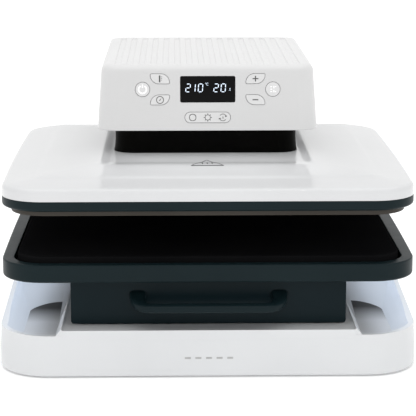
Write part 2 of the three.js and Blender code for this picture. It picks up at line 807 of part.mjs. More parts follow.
function buildTrim() {
  const at = (z, inwards) => {
    const w = COVER_W - 2 * inwards;
    const y1 = FRONT + COVER_D - inwards;
    return bowed(COVER_BOW, z, w, FRONT + inwards, y1, COVER_R - inwards);
  };
  const stepZ = TRIM_Z + TRIM_LIP_H;
  const outer = solid(
    loft([
      at(TRIM_Z, TRIM_LIP_INSET + 1),
      at(TRIM_Z + 1.5, TRIM_LIP_INSET),
      at(stepZ, TRIM_LIP_INSET),
      at(stepZ + 0.5, 3),
      at(stepZ + 3, 0),
      at(COVER_Z - CLEAR, 0),
    ]),
  );
  const w = PLATEN_W + 2 * CLEAR;
  const d = PLATEN_D + 2 * CLEAR;
  return cut(outer, plate(roundedRect(w, d, PLATEN_R + CLEAR, 0, COVER_MID_Y), 0, 400));
}

// Aluminium platen with a serpentine groove for the heating element.
function elementPath() {
  const points = [];
  for (let i = 0; i < ELEMENT_RUNS; i += 1) {
    const y = COVER_MID_Y + (i - (ELEMENT_RUNS - 1) / 2) * ELEMENT_PITCH;
    const xs = i % 2 ? [ELEMENT_HALF, -ELEMENT_HALF] : [-ELEMENT_HALF, ELEMENT_HALF];
    points.push([xs[0], y], [xs[1], y]);
  }
  return points;
}

function elementBars(width, z0, z1) {
  const points = elementPath();
  const bars = [];
  for (let i = 0; i + 1 < points.length; i += 1) {
    const [xa, ya] = points[i];
    const [xb, yb] = points[i + 1];
    const h = width / 2;
    bars.push(
      box(
        Math.min(xa, xb) - h,
        Math.max(xa, xb) + h,
        Math.min(ya, yb) - h,
        Math.max(ya, yb) + h,
        z0,
        z1,
      ),
    );
  }
  return bars;
}

function buildPlatens() {
  const mid = COVER_MID_Y;
  const at = (z, inwards) => {
    const half = PLATEN_D / 2 - inwards;
    return level(z, PLATEN_W - 2 * inwards, mid - half, mid + half, PLATEN_R - inwards);
  };
  const platen = solid(
    loft([at(PLATEN_Z, 2), at(PLATEN_Z + 2, 0), at(PLATEN_Z + PLATEN_T, 0)]),
  );
  const groove = elementBars(ELEMENT_W + 2 * CLEAR, PLATEN_Z + 4, PLATEN_Z + PLATEN_T + 1);
  add("heating_platen", cut(platen, ...groove), aluminium);
  const bars = elementBars(ELEMENT_W, PLATEN_Z + 4 + CLEAR, PLATEN_Z + PLATEN_T - CLEAR);
  add("heating_element", join(...bars), steel);
  const boardZ = PLATEN_Z + PLATEN_T + CLEAR;
  const outline = roundedRect(BOARD_W, BOARD_W, 20, 0, mid);
  const sheet = solid(plate(outline, boardZ, boardZ + BOARD_T));
  const cutoutHole = rod(13, boardZ - 1, boardZ + 20, CUTOUT_X, CUTOUT_Y, 20);
  const sensorHole = rod(7, boardZ - 1, boardZ + 20, -CUTOUT_X, CUTOUT_Y, 16);
  add("insulation_board", cut(sheet, cutoutHole, sensorHole), insulation);
  add("thermal_cutout", rod(11, boardZ, boardZ + 12, CUTOUT_X, CUTOUT_Y, 20), black);
  add("temperature_sensor", rod(5, boardZ, boardZ + 7, -CUTOUT_X, CUTOUT_Y, 16), brass);
  return boardZ + BOARD_T;
}

// ---- Press drive ----------------------------------------------------------------------------
// Straight-flanked spur gear with its axis on Z.
function spurGear(teeth, z0, z1, x, y, phase) {
  const pitchR = (GEAR_MODULE * teeth) / 2;
  const tip = pitchR + 0.8 * GEAR_MODULE;
  const root = pitchR - 1.15 * GEAR_MODULE;
  const step = (2 * Math.PI) / teeth;
  const points = [];
  for (let i = 0; i < teeth; i += 1) {
    const corners = [
      [root, -0.32],
      [tip, -0.12],
      [tip, 0.12],
      [root, 0.32],
    ];
    for (const [r, share] of corners) {
      const a = (i + phase + share) * step;
      points.push([x + r * Math.cos(a), y + r * Math.sin(a)]);
    }
  }
  return plate(polygon(points), z0, z1);
}

function buildDrive(crossZ) {
  const crossTop = crossZ + 5;
  const mid = PRESS_Y;
  const cross = solid(
    plate(roundedRect(300, 300, 12, 0, COVER_MID_Y), crossZ + CLEAR, crossTop),
  );
  const cutoutHole = rod(16, 0, 400, CUTOUT_X, CUTOUT_Y);
  add("crosshead_plate", cut(cross, cutoutHole), aluminium);
  const rise = crossTop + CLEAR;
  const screw = join(
    rod(SCREW_R, rise, rise + SCREW_H, 0, mid),
    rod(SCREW_R + 6, rise, rise + 5, 0, mid),
  );
  add("lead_screw", screw, steel);
  for (const [side, s] of SIDES) {
    const x = s * ROD_X;
    const guide = join(
      rod(ROD_R, rise, rise + SCREW_H, x, mid),
      rod(ROD_R + 5, rise, rise + 4, x, mid),
    );
    add(`guide_rod_${side}`, guide, steel);
    const bush = join(
      rod(BUSH_R, ARM_Z - BUSH_FLANGE - CLEAR, ARM_Z - CLEAR, x, mid),
      rod(BUSH_R - 2, ARM_Z - BUSH_FLANGE - CLEAR, ARM_Z + FRAME_T + 6, x, mid),
    );
    add(`guide_bush_${side}`, cut(bush, rod(ROD_R + SLIP, 0, 400, x, mid)), brass);
  }
  buildGears();
}

function buildGears() {
  const mid = PRESS_Y;
  const z0 = ARM_Z + FRAME_T + CLEAR;
  const nut = join(
    spurGear(NUT_TEETH, z0, z0 + GEAR_H, 0, mid, NUT_TEETH / 4),
    rod(NUT_R, z0 - FRAME_T - CLEAR - 3, z0 + GEAR_H, 0, mid),
    rod(NUT_R, z0 + GEAR_H - 1, z0 + GEAR_H + 4, 0, mid),
  );
  add("nut_gear", cut(nut, rod(SCREW_R + SLIP, 0, 400, 0, mid)), brass);
  const pinionY = mid + MOTOR_OFFSET;
  const phase = 0.75 * PINION_TEETH - 0.5; // a gap between teeth faces the nut gear
  const pinion = spurGear(PINION_TEETH, z0 + 1, z0 + GEAR_H - 1, 0, pinionY, phase);
  add("motor_pinion", cut(solid(pinion), rod(MOTOR_SHAFT_R + CLEAR, 0, 400, 0, pinionY)), steel);
  const motorZ = z0 + GEAR_H + 3;
  const motor = join(
    rod(MOTOR_R, motorZ, motorZ + MOTOR_L, 0, pinionY, 28),
    box(-MOTOR_R - 8, MOTOR_R + 8, pinionY - 12, pinionY + 12, motorZ, motorZ + 4),
    box(-MOTOR_R - 8, -MOTOR_R - 2, pinionY - 12, pinionY + 12, z0, motorZ + 1),
    box(MOTOR_R + 2, MOTOR_R + 8, pinionY - 12, pinionY + 12, z0, motorZ + 1),
    rod(MOTOR_SHAFT_R, z0, motorZ + 1, 0, pinionY),
  );
  add("gear_motor", motor, steel);
}

// C-shaped side plate: a foot under the drawer platform, an upright in the column, and an arm
// through the head whose top follows the head's curve.
function framePlate(x) {
  const z0 = FOOT_H + BOTTOM_PLATE_T + CLEAR;
  const armTop = ARM_Z + FRAME_ARM_H;
  const r = BACK_R - HEAD_WALL - FRAME_GAP;
  const centreY = COLUMN_BACK - BACK_R;
  const centreZ = HEAD_TOP - BACK_R;
  const upY0 = centreY + r - FRAME_BAR_UP;
  const s = new THREE.Shape();
  s.moveTo(FRONT + 60, z0);
  s.lineTo(centreY + r, z0);
  s.absarc(centreY, centreZ, r, 0, Math.asin((armTop - centreZ) / r));
  s.lineTo(PRESS_Y - ARM_REACH, armTop);
  s.lineTo(PRESS_Y - ARM_REACH, ARM_Z + FRAME_T + CLEAR);
  s.lineTo(upY0 - HAUNCH, ARM_Z + FRAME_T + CLEAR);
  s.lineTo(upY0, ARM_Z + FRAME_T - HAUNCH);
  s.lineTo(upY0, FRAME_BAR + z0 + HAUNCH);
  s.lineTo(upY0 - HAUNCH, FRAME_BAR + z0);
  s.lineTo(FRONT + 60, FRAME_BAR + z0);
  return along_x(s, x - FRAME_T / 2, x + FRAME_T / 2);
}

function buildFrame() {
  for (const [side, s] of SIDES) add(`frame_${side}`, framePlate(s * FRAME_X), zinc);
  const inner = FRAME_X - FRAME_T / 2 - CLEAR;
  const outer = FRAME_X + FRAME_T / 2;
  const z0 = FOOT_H + BOTTOM_PLATE_T + CLEAR;
  const backY1 = COLUMN_BACK - HEAD_WALL - FRAME_GAP;
  const barTop = z0 + FRAME_BAR;
  add("frame_base_plate", box(-inner, inner, FRONT + 60, backY1 - 60, barTop - 5, barTop), zinc);
  add("frame_back_plate", box(-inner, inner, backY1 - 5, backY1, DECK_Z + 4, ARM_Z - 60), zinc);
  const arm = solid(
    box(-outer, outer, PRESS_Y - ARM_REACH, PRESS_Y + MOTOR_OFFSET + 30, ARM_Z, ARM_Z + FRAME_T),
  );
  const bores = SIDES.map(([, s]) => rod(BUSH_R - 2 + CLEAR, 0, 400, s * ROD_X, PRESS_Y));
  const nutBore = rod(NUT_R + SLIP, 0, 400, 0, PRESS_Y);
  add("frame_arm_plate", cut(arm, nutBore, ...bores), zinc);
}

// ---- Drawer ---------------------------------------------------------------------------------
function buildTray() {
  const y1 = FRONT + TRAY_D;
  const outer = loft([
    bowed(TRAY_BOW, TRAY_Z, TRAY_W - 5, FRONT + 2.5, y1 - 2.5, TRAY_R - 2.5),
    bowed(TRAY_BOW, TRAY_Z + 2, TRAY_W, FRONT, y1, TRAY_R),
    bowed(TRAY_BOW, TRAY_TOP - 1.5, TRAY_W, FRONT, y1, TRAY_R),
    bowed(TRAY_BOW, TRAY_TOP, TRAY_W - 3, FRONT + 1.5, y1 - 1.5, TRAY_R - 1.5),
  ]);
  const t = TRAY_RIM;
  const inner = roundedRect(TRAY_W - 2 * t, TRAY_D - 2 * t, TRAY_R - t, 0, TRAY_MID_Y);
  return cut(solid(outer), plate(inner, LOWER_PLATE_Z, TRAY_TOP + 5));
}

function padLevels() {
  const e = PAD_EDGE;
  const at = (z, inwards) => {
    const w = PAD_W - 2 * inwards;
    return level(z, w, TRAY_MID_Y - w / 2, TRAY_MID_Y + w / 2, PAD_R - inwards);
  };
  return [at(PAD_Z, 0), at(PAD_TOP - e, 0), at(PAD_TOP - 0.3 * e, 0.3 * e), at(PAD_TOP, e)];
}

// Rounded bow handle: two arms slope forward and down from the drawer front to a flat bar.
function buildHandle() {
  const y1 = FRONT + FRONT_SETBACK - CLEAR;
  const y0 = FRONT - HANDLE_PROUD;
  const outline = roundedRect(HANDLE_W, y1 - y0 + 30, 24, 0, (y0 + y1 + 30) / 2);
  const opening = roundedRect(
    HANDLE_W - 2 * HANDLE_ARM_W,
    y1 - y0 + 30,
    10,
    0,
    (y0 + y1 + 30) / 2 + HANDLE_BAR_D,
  );
  const side = polygon([
    [y0, HANDLE_BAR_Z - HANDLE_BAR_H / 2],
    [y0 + HANDLE_BAR_D, HANDLE_BAR_Z - HANDLE_BAR_H / 2],
    [y1, HANDLE_ROOT_Z - HANDLE_BAR_H / 2],
    [y1, HANDLE_ROOT_Z + HANDLE_BAR_H / 2 + 2],
    [y0 + HANDLE_BAR_D, HANDLE_BAR_Z + HANDLE_BAR_H / 2 + 2],
    [y0, HANDLE_BAR_Z + HANDLE_BAR_H / 2],
  ]);
  const bow = cut(solid(plate(outline, 0, 200, 8)), plate(opening, -1, 201, 6));
  return bow.intersect(solid(along_x(side, -HANDLE_W, HANDLE_W)));
}

// Three nested channels of a telescopic slide. Each is a C that opens towards +X.
function channel(x0, x1, z0, z1, t) {
  return polygon([
    [x0, z0],
    [x1, z0],
    [x1, z0 + t],
    [x0 + t, z0 + t],
    [x0 + t, z1 - t],
    [x1, z1 - t],
    [x1, z1],
    [x0, z1],
  ]);
}

function buildSlides() {
  const y0 = FRONT + FRONT_SETBACK + 10;
  const y1 = y0 + SLIDE_L;
  const z0 = DRAWER_Z + 5;
  const z1 = z0 + SLIDE_H;
  const x0 = SUPPORT_HALF_W;
  const step = SLIDE_T + SLIP;
  const chassisX = FRONT_W / 2 - 2 - CHASSIS_T;
  const outer = channel(x0, x0 + SLIDE_W, z0, z1, SLIDE_T);
  const middle = channel(x0 + step, x0 + SLIDE_W + step, z0 + step, z1 - step, SLIDE_T);
  // The inner rail's web lies against the drawer chassis, and its flanges face the middle one.
  const inner = polygon([
    [x0 + 2 * step, z0 + 2 * step],
    [chassisX - SLIDE_T, z0 + 2 * step],
    [chassisX - SLIDE_T, z0 + 2],
    [chassisX, z0 + 2],
    [chassisX, z1 - 2],
    [chassisX - SLIDE_T, z1 - 2],
    [chassisX - SLIDE_T, z1 - 2 * step],
    [x0 + 2 * step, z1 - 2 * step],
    [x0 + 2 * step, z1 - 2 * step - SLIDE_T],
    [chassisX - SLIDE_T, z1 - 2 * step - SLIDE_T],
    [chassisX - SLIDE_T, z0 + 2 * step + SLIDE_T],
    [x0 + 2 * step, z0 + 2 * step + SLIDE_T],
  ]);
  for (const [side, s] of SIDES) {
    for (const [part, shape] of [["outer", outer], ["middle", middle], ["inner", inner]]) {
      const flat = shape.getPoints(1).map((p) => [s * p.x, p.y]);
      add(`slide_${part}_${side}`, along_y(polygon(flat), y0, y1), steel);
    }
  }
}

function buildDrawer() {
  add("drawer_tray", buildTray(), slate);
  const inW = TRAY_W - 2 * TRAY_RIM - 2 * CLEAR;
  const inD = TRAY_D - 2 * TRAY_RIM - 2 * CLEAR;
  add(
    "lower_platen",
    plate(roundedRect(inW, inD, TRAY_R - TRAY_RIM - CLEAR, 0, TRAY_MID_Y), LOWER_PLATE_Z, PAD_Z),
    aluminium,
  );
  add("silicone_pad", loft(padLevels()), silicone);
  const frontY = FRONT + FRONT_SETBACK;
  const panel = along_y(
    roundedRect(FRONT_W, FRONT_H - CLEAR, FRONT_R, 0, DRAWER_Z + (FRONT_H - CLEAR) / 2),
    frontY,
    frontY + FRONT_T,
  );
  add("drawer_front", panel, slate);
  // Inverted channel under the tray, open below so that it passes over the support block.
  const w = FRONT_W / 2 - 2;
  const t = CHASSIS_T;
  const chassis = polygon([
    [-w, DRAWER_Z + 2],
    [-w + t, DRAWER_Z + 2],
    [-w + t, TRAY_Z - CLEAR - t],
    [w - t, TRAY_Z - CLEAR - t],
    [w - t, DRAWER_Z + 2],
    [w, DRAWER_Z + 2],
    [w, TRAY_Z - CLEAR],
    [-w, TRAY_Z - CLEAR],
  ]);
  add("drawer_chassis", along_y(chassis, frontY + FRONT_T, FRONT + TRAY_D - 6), steel);
  add("handle", buildHandle(), slate);
  buildSlides();
}

// ---- Assembly -------------------------------------------------------------------------------
function buildFeet() {
  for (const [side, s] of SIDES) {
    for (const [end, y] of [["front", FRONT + FOOT_INSET], ["rear", BACK - FOOT_INSET]]) {
      const x = s * (BASE_W / 2 - FOOT_INSET);
      add(`foot_${end}_${side}`, rod(FOOT_R, 0, FOOT_H, x, y, 20), rubber);
    }
  }
}

function buildSupport() {
  const z1 = TRAY_Z - CLEAR - CHASSIS_T - 1;
  const y0 = FRONT + FRONT_SETBACK + FRONT_T + 8;
  return cut(
    solid(box(-SUPPORT_HALF_W, SUPPORT_HALF_W, y0, y0 + SUPPORT_L, LEDGE_Z, z1)),
    box(
      -SUPPORT_HALF_W + SUPPORT_WALL,
      SUPPORT_HALF_W - SUPPORT_WALL,
      y0 + SUPPORT_WALL,
      y0 + SUPPORT_L + 1,
      LEDGE_Z - 1,
      z1 - SUPPORT_WALL - 1,
    ),
  );
}

function buildElectronics() {
  const z = FOOT_H + BOTTOM_PLATE_T + 6;
  const half = FRAME_X - FRAME_T / 2 - 6;
  const y0 = FRONT + 200;
  const circuit = join(
    box(-half, half, y0, y0 + 130, z, z + 1.6),
    box(-half + 10, -half + 45, y0 + 20, y0 + 60, z + 1, z + 18),
    rod(9, z + 1, z + 20, half - 20, y0 + 30, 16),
    rod(9, z + 1, z + 20, half - 20, y0 + 55, 16),
    box(-20, 20, y0 + 80, y0 + 110, z + 1, z + 14),
  );
  add("power_board", circuit, board);
  const switchY1 = BACK - DECK_D - CLEAR;
  const bodyX = SUPPORT_HALF_W - 40;
  add("drawer_switch", box(bodyX, bodyX + 20, switchY1 - 5, switchY1, LEDGE_Z, LEDGE_Z + 12), black);
}

// Body through the rear wall with a bezel outside, and a pocket open to the rear.
function entryFrame(x, w, h, pocketW, pocketH) {
  const outline = (grow) => roundedRect(w + 2 * grow, h + 2 * grow, 1.5, x, ENTRY_Z);
  const frame = join(
    along_y(outline(0), BACK - 24, BACK + BEZEL_T, 2),
    along_y(outline(BEZEL_LAP), BACK + CLEAR, BACK + BEZEL_T, 2),
  );
  return cut(
    frame,
    along_y(roundedRect(pocketW, pocketH, 1, x, ENTRY_Z), BACK - 17, BACK + BEZEL_T + 1, 2),
  );
}

function buildPowerEntry() {
  const inlet = entryFrame(INLET_X, INLET_W, INLET_H, INLET_W - 4, INLET_H - 4);
  const pins = [-7, 0, 7].map((x) =>
    box(INLET_X + x - 1, INLET_X + x + 1, BACK - 18, BACK - 3, ENTRY_Z - 2, ENTRY_Z + 2),
  );
  add("power_inlet", pins.reduce((sum, pin) => sum.add(solid(pin)), inlet), black);
  add("switch_frame", entryFrame(SWITCH_X, SWITCH_W, SWITCH_H, SWITCH_W - 3, SWITCH_H - 3), black);
  // The rocker is a wedge that tips about an axis across the switch.
  const w = SWITCH_W - 3 - 2 * SLIP;
  const h = SWITCH_H / 2 - 1.5 - 1.5 * SLIP;
  const wedge = along_x(
    polygon([
      [-9, -4],
      [1.2, -h],
      [2.6, 0],
      [1.2, h],
      [-9, 4],
    ]),
    -w / 2,
    w / 2,
  );
  const rocker = add("switch_rocker", wedge, black);
  rocker.position.set(SWITCH_X, BACK - 2.5, ENTRY_Z);
  rocker.rotation.x = ROCKER_TILT;
}

function buildRearCover() {
  const mid = REAR_COVER_Z + REAR_COVER_H / 2;
  const outline = roundedRect(REAR_COVER_W, REAR_COVER_H, REAR_COVER_R, 0, mid);
  const vents = [];
  for (let i = 0; i < VENT_COUNT; i += 1) {
    const x = (i - (VENT_COUNT - 1) / 2) * VENT_PITCH;
    const slot = roundedRect(VENT_W, REAR_COVER_H - 20, VENT_W / 2 - 0.01, x, mid);
    vents.push(along_y(slot, COLUMN_BACK - 5, COLUMN_BACK + 1, 2));
  }
  const sheet = along_y(outline, COLUMN_BACK - 2, COLUMN_BACK, 3);
  add("rear_cover", cut(solid(sheet), ...vents), white);
}

add("base_shell", buildBase(), white);
add(
  "bottom_plate",
  plate(
    roundedRect(BASE_W - 18, BASE_D - 18, BASE_R - 9, 0, (FRONT + BACK) / 2),
    FOOT_H,
    FOOT_H + BOTTOM_PLATE_T - PLATE_GAP,
  ),
  steel,
);
buildFeet();
add("head_shell", buildHead(), white);
add("column_cover", buildColumn(), white);
add("head_underside", buildHeadUnderside(), white);
add("platen_cover", buildCover(), white);
add("platen_trim", buildTrim(), slate);
add("neck_shroud", buildShroud(), black);
buildDrive(buildPlatens());
buildControls();
buildFrame();
buildDrawer();
add("support_block", buildSupport(), black);
buildElectronics();
buildPowerEntry();
buildRearCover();

export default press;
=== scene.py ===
"""Automatic flat-bed heat press: visible shells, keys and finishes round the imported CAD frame."""

import json
import math

import bmesh
import bpy
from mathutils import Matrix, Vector
from mathutils.bvhtree import BVHTree

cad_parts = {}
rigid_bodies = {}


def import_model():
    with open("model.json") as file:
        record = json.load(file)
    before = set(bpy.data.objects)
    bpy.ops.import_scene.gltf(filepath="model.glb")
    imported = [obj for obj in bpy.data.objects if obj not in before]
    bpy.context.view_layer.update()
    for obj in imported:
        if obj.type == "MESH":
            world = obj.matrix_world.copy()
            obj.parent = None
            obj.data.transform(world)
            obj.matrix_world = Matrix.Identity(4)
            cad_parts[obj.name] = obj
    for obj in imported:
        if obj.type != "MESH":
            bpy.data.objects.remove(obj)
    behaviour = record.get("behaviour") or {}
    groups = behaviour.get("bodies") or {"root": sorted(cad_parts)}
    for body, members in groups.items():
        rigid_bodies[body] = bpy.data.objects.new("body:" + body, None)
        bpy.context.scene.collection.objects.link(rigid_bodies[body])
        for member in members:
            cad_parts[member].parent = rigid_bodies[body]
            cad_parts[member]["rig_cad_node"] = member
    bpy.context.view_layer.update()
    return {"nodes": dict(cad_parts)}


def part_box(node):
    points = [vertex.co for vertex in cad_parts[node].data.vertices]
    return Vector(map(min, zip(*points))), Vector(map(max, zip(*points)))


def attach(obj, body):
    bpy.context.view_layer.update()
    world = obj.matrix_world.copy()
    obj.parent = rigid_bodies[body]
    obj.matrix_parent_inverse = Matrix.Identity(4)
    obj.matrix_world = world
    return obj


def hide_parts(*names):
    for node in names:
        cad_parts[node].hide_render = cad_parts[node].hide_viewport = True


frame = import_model()
NODES = frame["nodes"]

MM = 0.001
CORNER = 14  # steps round a corner of a shell
FINE_CORNER = 20  # the same on the drawer's and the neck's larger corners
BASE_CORNER = 24  # the same on the base
SIDE_STEPS = 12  # steps along a side that bows out

# Sizes that the shells share with the CAD solids, in millimetres
HEAD_TOP_W = 212.5
HEAD_TILT = math.radians(4)
HEAD_R = 20
HEAD_EDGE = 7
WALL = 3
BACK_R = 130
RIB_PITCH = 12
RIB_COUNT = 16
KEY_CLEAR = 0.35
KEY_PROUD = 0.6
ROUND_KEY_R = 7.1
LEAF_W, LEAF_H = 18.8, 9.7
MODE_W, MODE_H = 45.4, 10.4
SIGN_U = 15.1  # the mode key's outer signs, from its middle
WINDOW_W, WINDOW_H, WINDOW_R = 54.5, 25.8, 1.4
TROUGH_W = 216
TROUGH_DEPTH = 3.5
TROUGH_START = 76
TROUGH_RAMP = 30
COVER_R = 42
COVER_BOW = 3
COVER_WALL = 2.5
SHOULDER_H = 12  # from the cover's lower edge to the top of its band
BAND_RISE = 6.4  # from the top of the band to where the crown starts
CROWN_H = 11.5  # from the top of the band to the cover's highest point
TRIM_STEP = 5.2  # height of the lip under the band
TRAY_R = 42
TRAY_BOW = 2
TRAY_RIM = 11
BASE_R = 52
DECK_D = 42
DECK_R = 14
WING_RISE = 37  # from the front lip to where the wings meet the deck
POCKET_WALL = 6.5
POCKET_OUT_X = 188
POCKET_DEPTH = 163
POCKET_SWEEP = 32
RIDGE_RISE = 1
RIDGE_L = 130
LEDGE_Z = 49
LIP_Z = 43.5
POCKET_FLOOR_Z = 32.5
RIDGE_X = 145.4
RIDGE_T = 6


def span(node):
    """Lowest and highest x, y and z of a CAD node, in millimetres."""
    lo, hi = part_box(node)
    return [v / MM for v in (lo.x, hi.x, lo.y, hi.y, lo.z, hi.z)]


FRONT = span("drawer_tray")[2]
HEAD = span("head_shell")
COLUMN = span("column_cover")
FACE_Y = HEAD[2] + (HEAD[5] - HEAD[4]) / 2 * math.tan(HEAD_TILT)
FACE_Z = (HEAD[4] + HEAD[5]) / 2
ROW_V = 8.8  # the keys' middle row above the face's centre
LEAF_U, LEAF_V = 47.6, 10.5  # the leaf keys, from the window's centre
DIGIT_W, DIGIT_H, DIGIT_BAR, DIGIT_SLANT = 5.0, 8.6, 0.75, 0.07
DIGIT_V = 1.4  # the digits above the window's centre


# ---- Materials ------------------------------------------------------------------------------
def material(
    name,
    dark,
    light,
    rough=(0.3, 0.4),
    grain=900,
    bump=0.02,
    patch=9,
    metallic=0.0,
    coat=0.0,
    coat_rough=0.1,
    specular=0.5,
    stretch=(1, 1, 1),
):
    """Procedural finish: cloudy colour between two tones, uneven gloss and a fine surface grain."""
    m = bpy.data.materials.new(name)
    m.use_nodes = True
    nt = m.node_tree
    bsdf = nt.nodes["Principled BSDF"]
    bsdf.inputs["Metallic"].default_value = metallic
    bsdf.inputs["Specular IOR Level"].default_value = specular
    bsdf.inputs["Coat Weight"].default_value = coat
    bsdf.inputs["Coat Roughness"].default_value = coat_rough
    at = nt.nodes.new("ShaderNodeTexCoord")
    place = nt.nodes.new("ShaderNodeMapping")
    place.inputs["Scale"].default_value = stretch
    nt.links.new(at.outputs["Object"], place.inputs["Vector"])

    def noise(scale, detail, roughness=0.5):
        n = nt.nodes.new("ShaderNodeTexNoise")
        n.inputs["Scale"].default_value = scale
        n.inputs["Detail"].default_value = detail
        n.inputs["Roughness"].default_value = roughness
        nt.links.new(place.outputs["Vector"], n.inputs["Vector"])
        return n

    cloud = noise(patch, 4)
    fine = noise(grain, 3, 0.6)
    tone = nt.nodes.new("ShaderNodeValToRGB")
    tone.color_ramp.elements[0].position = 0.3
    tone.color_ramp.elements[1].position = 0.7
    tone.color_ramp.elements[0].color = (*dark, 1)
    tone.color_ramp.elements[1].color = (*light, 1)
    nt.links.new(cloud.outputs["Fac"], tone.inputs["Fac"])
    nt.links.new(tone.outputs["Color"], bsdf.inputs["Base Color"])
    gloss = nt.nodes.new("ShaderNodeMapRange")
    gloss.inputs["To Min"].default_value = rough[0]
    gloss.inputs["To Max"].default_value = rough[1]
    scuff = noise(patch * 7, 5, 0.6)
    nt.links.new(scuff.outputs["Fac"], gloss.inputs["Value"])
    nt.links.new(gloss.outputs["Result"], bsdf.inputs["Roughness"])
    relief = nt.nodes.new("ShaderNodeBump")
    relief.inputs["Strength"].default_value = bump
    relief.inputs["Distance"].default_value = 0.0004
    nt.links.new(fine.outputs["Fac"], relief.inputs["Height"])
    nt.links.new(relief.outputs["Normal"], bsdf.inputs["Normal"])
    return m


def grey(v):
    return (v, v, v)


WHITE = material(
    "moulded_white", (0.60, 0.60, 0.60), (0.625, 0.625, 0.625), (0.3, 0.38), 1400, 0.05,
    coat=0.2, coat_rough=0.2,
)
GLOSS_WHITE = material(
    "glossy_white", (0.55, 0.555, 0.562), (0.575, 0.58, 0.587), (0.3, 0.36), 700, 0.01,
    coat=0.6, coat_rough=0.05, specular=0.35,
)
BASE_WHITE = material(
    "base_white", (0.60, 0.61, 0.62), (0.625, 0.635, 0.645), (0.26, 0.34), 1300, 0.04,
    coat=0.3, coat_rough=0.15,
)
# Painted shade: the wings' pocket floors run from pale grey at the front to near black at the back,
# where the tray above shades them.
WING_FLOOR_PAINTED_SHADE = material("wing_floor_painted_shade", grey(0.56), grey(0.035), (0.4, 0.5), 1300, 0.06, specular=0.2)
KEY_WHITE = material(
    "key_white", grey(0.645), grey(0.675), (0.3, 0.36), 1600, 0.04, 30,
)
SLATE = material(
    "slate_moulding", (0.0045, 0.0115, 0.014), (0.006, 0.0145, 0.017), (0.34, 0.44), 1200, 0.12,
    specular=0.12,
)
PANEL = material(
    "slate_panel", (0.0015, 0.0085, 0.0115), (0.003, 0.011, 0.0145), (0.3, 0.38), 1300, 0.08,
    specular=0.12,
)
LIP = material(
    "heat_proof_lip", (0.043, 0.038, 0.031), (0.053, 0.047, 0.040), (0.42, 0.52), 1000, 0.15,
    specular=0.15,
)
BLACK = material(
    "black_moulding", (0.0008, 0.0008, 0.0006), (0.002, 0.0019, 0.0014), (0.42, 0.52), 1300, 0.06,
    specular=0.03,
)
PAD = material(
    "silicone_sponge", (0.005, 0.005, 0.0055), (0.0075, 0.0075, 0.008), (0.6, 0.72), 1500,
    0.35, specular=0.0,
)
GLASS = material(
    "display_glass", (0.002, 0.002, 0.002), (0.004, 0.004, 0.004), (0.06, 0.1), 800, 0.004,
    specular=0.1,
)
RUBBER = material("foot_rubber", grey(0.008), grey(0.014), (0.7, 0.85), 900, 0.5)
STEEL = material(
    "ground_steel", grey(0.42), grey(0.5), (0.25, 0.4), 500, 0.08, 12, 1.0, stretch=(1, 6, 1),
)
ZINC = material(
    "zinc_plate", (0.5, 0.51, 0.52), (0.6, 0.61, 0.62), (0.3, 0.45), 300, 0.06, 40, 1.0,
)
ALUMINIUM = material(
    "cast_aluminium", (0.55, 0.56, 0.57), (0.64, 0.65, 0.66), (0.3, 0.45), 600, 0.1, 15, 1.0,
)
ANODISED = material(
    "black_anodised", grey(0.004), grey(0.007), (0.4, 0.5), 700, 0.1, 15, 0.3, specular=0.1,
)
BRASS = material("brass", (0.45, 0.31, 0.11), (0.55, 0.4, 0.16), (0.25, 0.4), 500, 0.06, 20, 1.0)
BOARD = material(
    "circuit_board", (0.01, 0.07, 0.03), (0.02, 0.1, 0.045), (0.35, 0.5), 400, 0.1, 60,
)
CERAMIC = material(
    "insulation_board", (0.6, 0.56, 0.48), (0.7, 0.66, 0.58), (0.8, 0.95), 500, 0.6, 20,
)
GLYPH_GREY = material("printed_grey", grey(0.06), grey(0.08), (0.5, 0.6), 1500, 0.02, 60)
GLYPH_WHITE = material("printed_white", grey(0.93), grey(0.97), (0.3, 0.4), 1500, 0.02, 60)
MARK_GREY = material("printed_mark", grey(0.36), grey(0.42), (0.35, 0.45), 1500, 0.02, 60)


def lit(name, colour, strength):
    m = material(name, colour, colour, (0.3, 0.4), 900, 0.01)
    bsdf = m.node_tree.nodes["Principled BSDF"]
    bsdf.inputs["Emission Color"].default_value = (*colour, 1)
    bsdf.inputs["Emission Strength"].default_value = strength
    return m


SEGMENT = lit("lit_segment", (0.72, 0.82, 0.95), 0.6)
SEGMENT_DIM = lit("lit_small_sign", (0.5, 0.58, 0.68), 0.5)


def paint_shade_along_y(m, y0, y1):
    """Paints shade into a finish: its first tone at y0 runs to its second one at y1, in
    millimetres.
    """
    nt = m.node_tree
    parts = nt.nodes.new("ShaderNodeSeparateXYZ")
    share = nt.nodes.new("ShaderNodeMapRange")
    share.inputs["From Min"].default_value = y0 * MM
    share.inputs["From Max"].default_value = y1 * MM
    mapping = next(n for n in nt.nodes if n.type == "MAPPING")
    tone = next(n for n in nt.nodes if n.type == "VALTORGB")
    nt.links.new(mapping.outputs["Vector"], parts.inputs["Vector"])
    nt.links.new(parts.outputs["Y"], share.inputs["Value"])
    nt.links.new(share.outputs["Result"], tone.inputs["Fac"])


# Paints the shade under the tray into the pocket floors, darkening them towards the back.
paint_shade_along_y(WING_FLOOR_PAINTED_SHADE, FRONT + 50, FRONT + 185)


# ---- Mesh helpers (points in millimetres) ----------------------------------------------------
def make(name, points, faces, mats=(WHITE,)):
    mesh = bpy.data.meshes.new(name)
    mesh.from_pydata([Vector(p) * MM for p in points], [], faces)
    o = bpy.data.objects.new(name, mesh)
    bpy.context.scene.collection.objects.link(o)
    for m in mats:
        mesh.materials.append(m)
    bm = bmesh.new()
    bm.from_mesh(mesh)
    bmesh.ops.remove_doubles(bm, verts=bm.verts, dist=1e-6)
    bmesh.ops.recalc_face_normals(bm, faces=bm.faces)
    bm.to_mesh(mesh)
    bm.free()
    return o


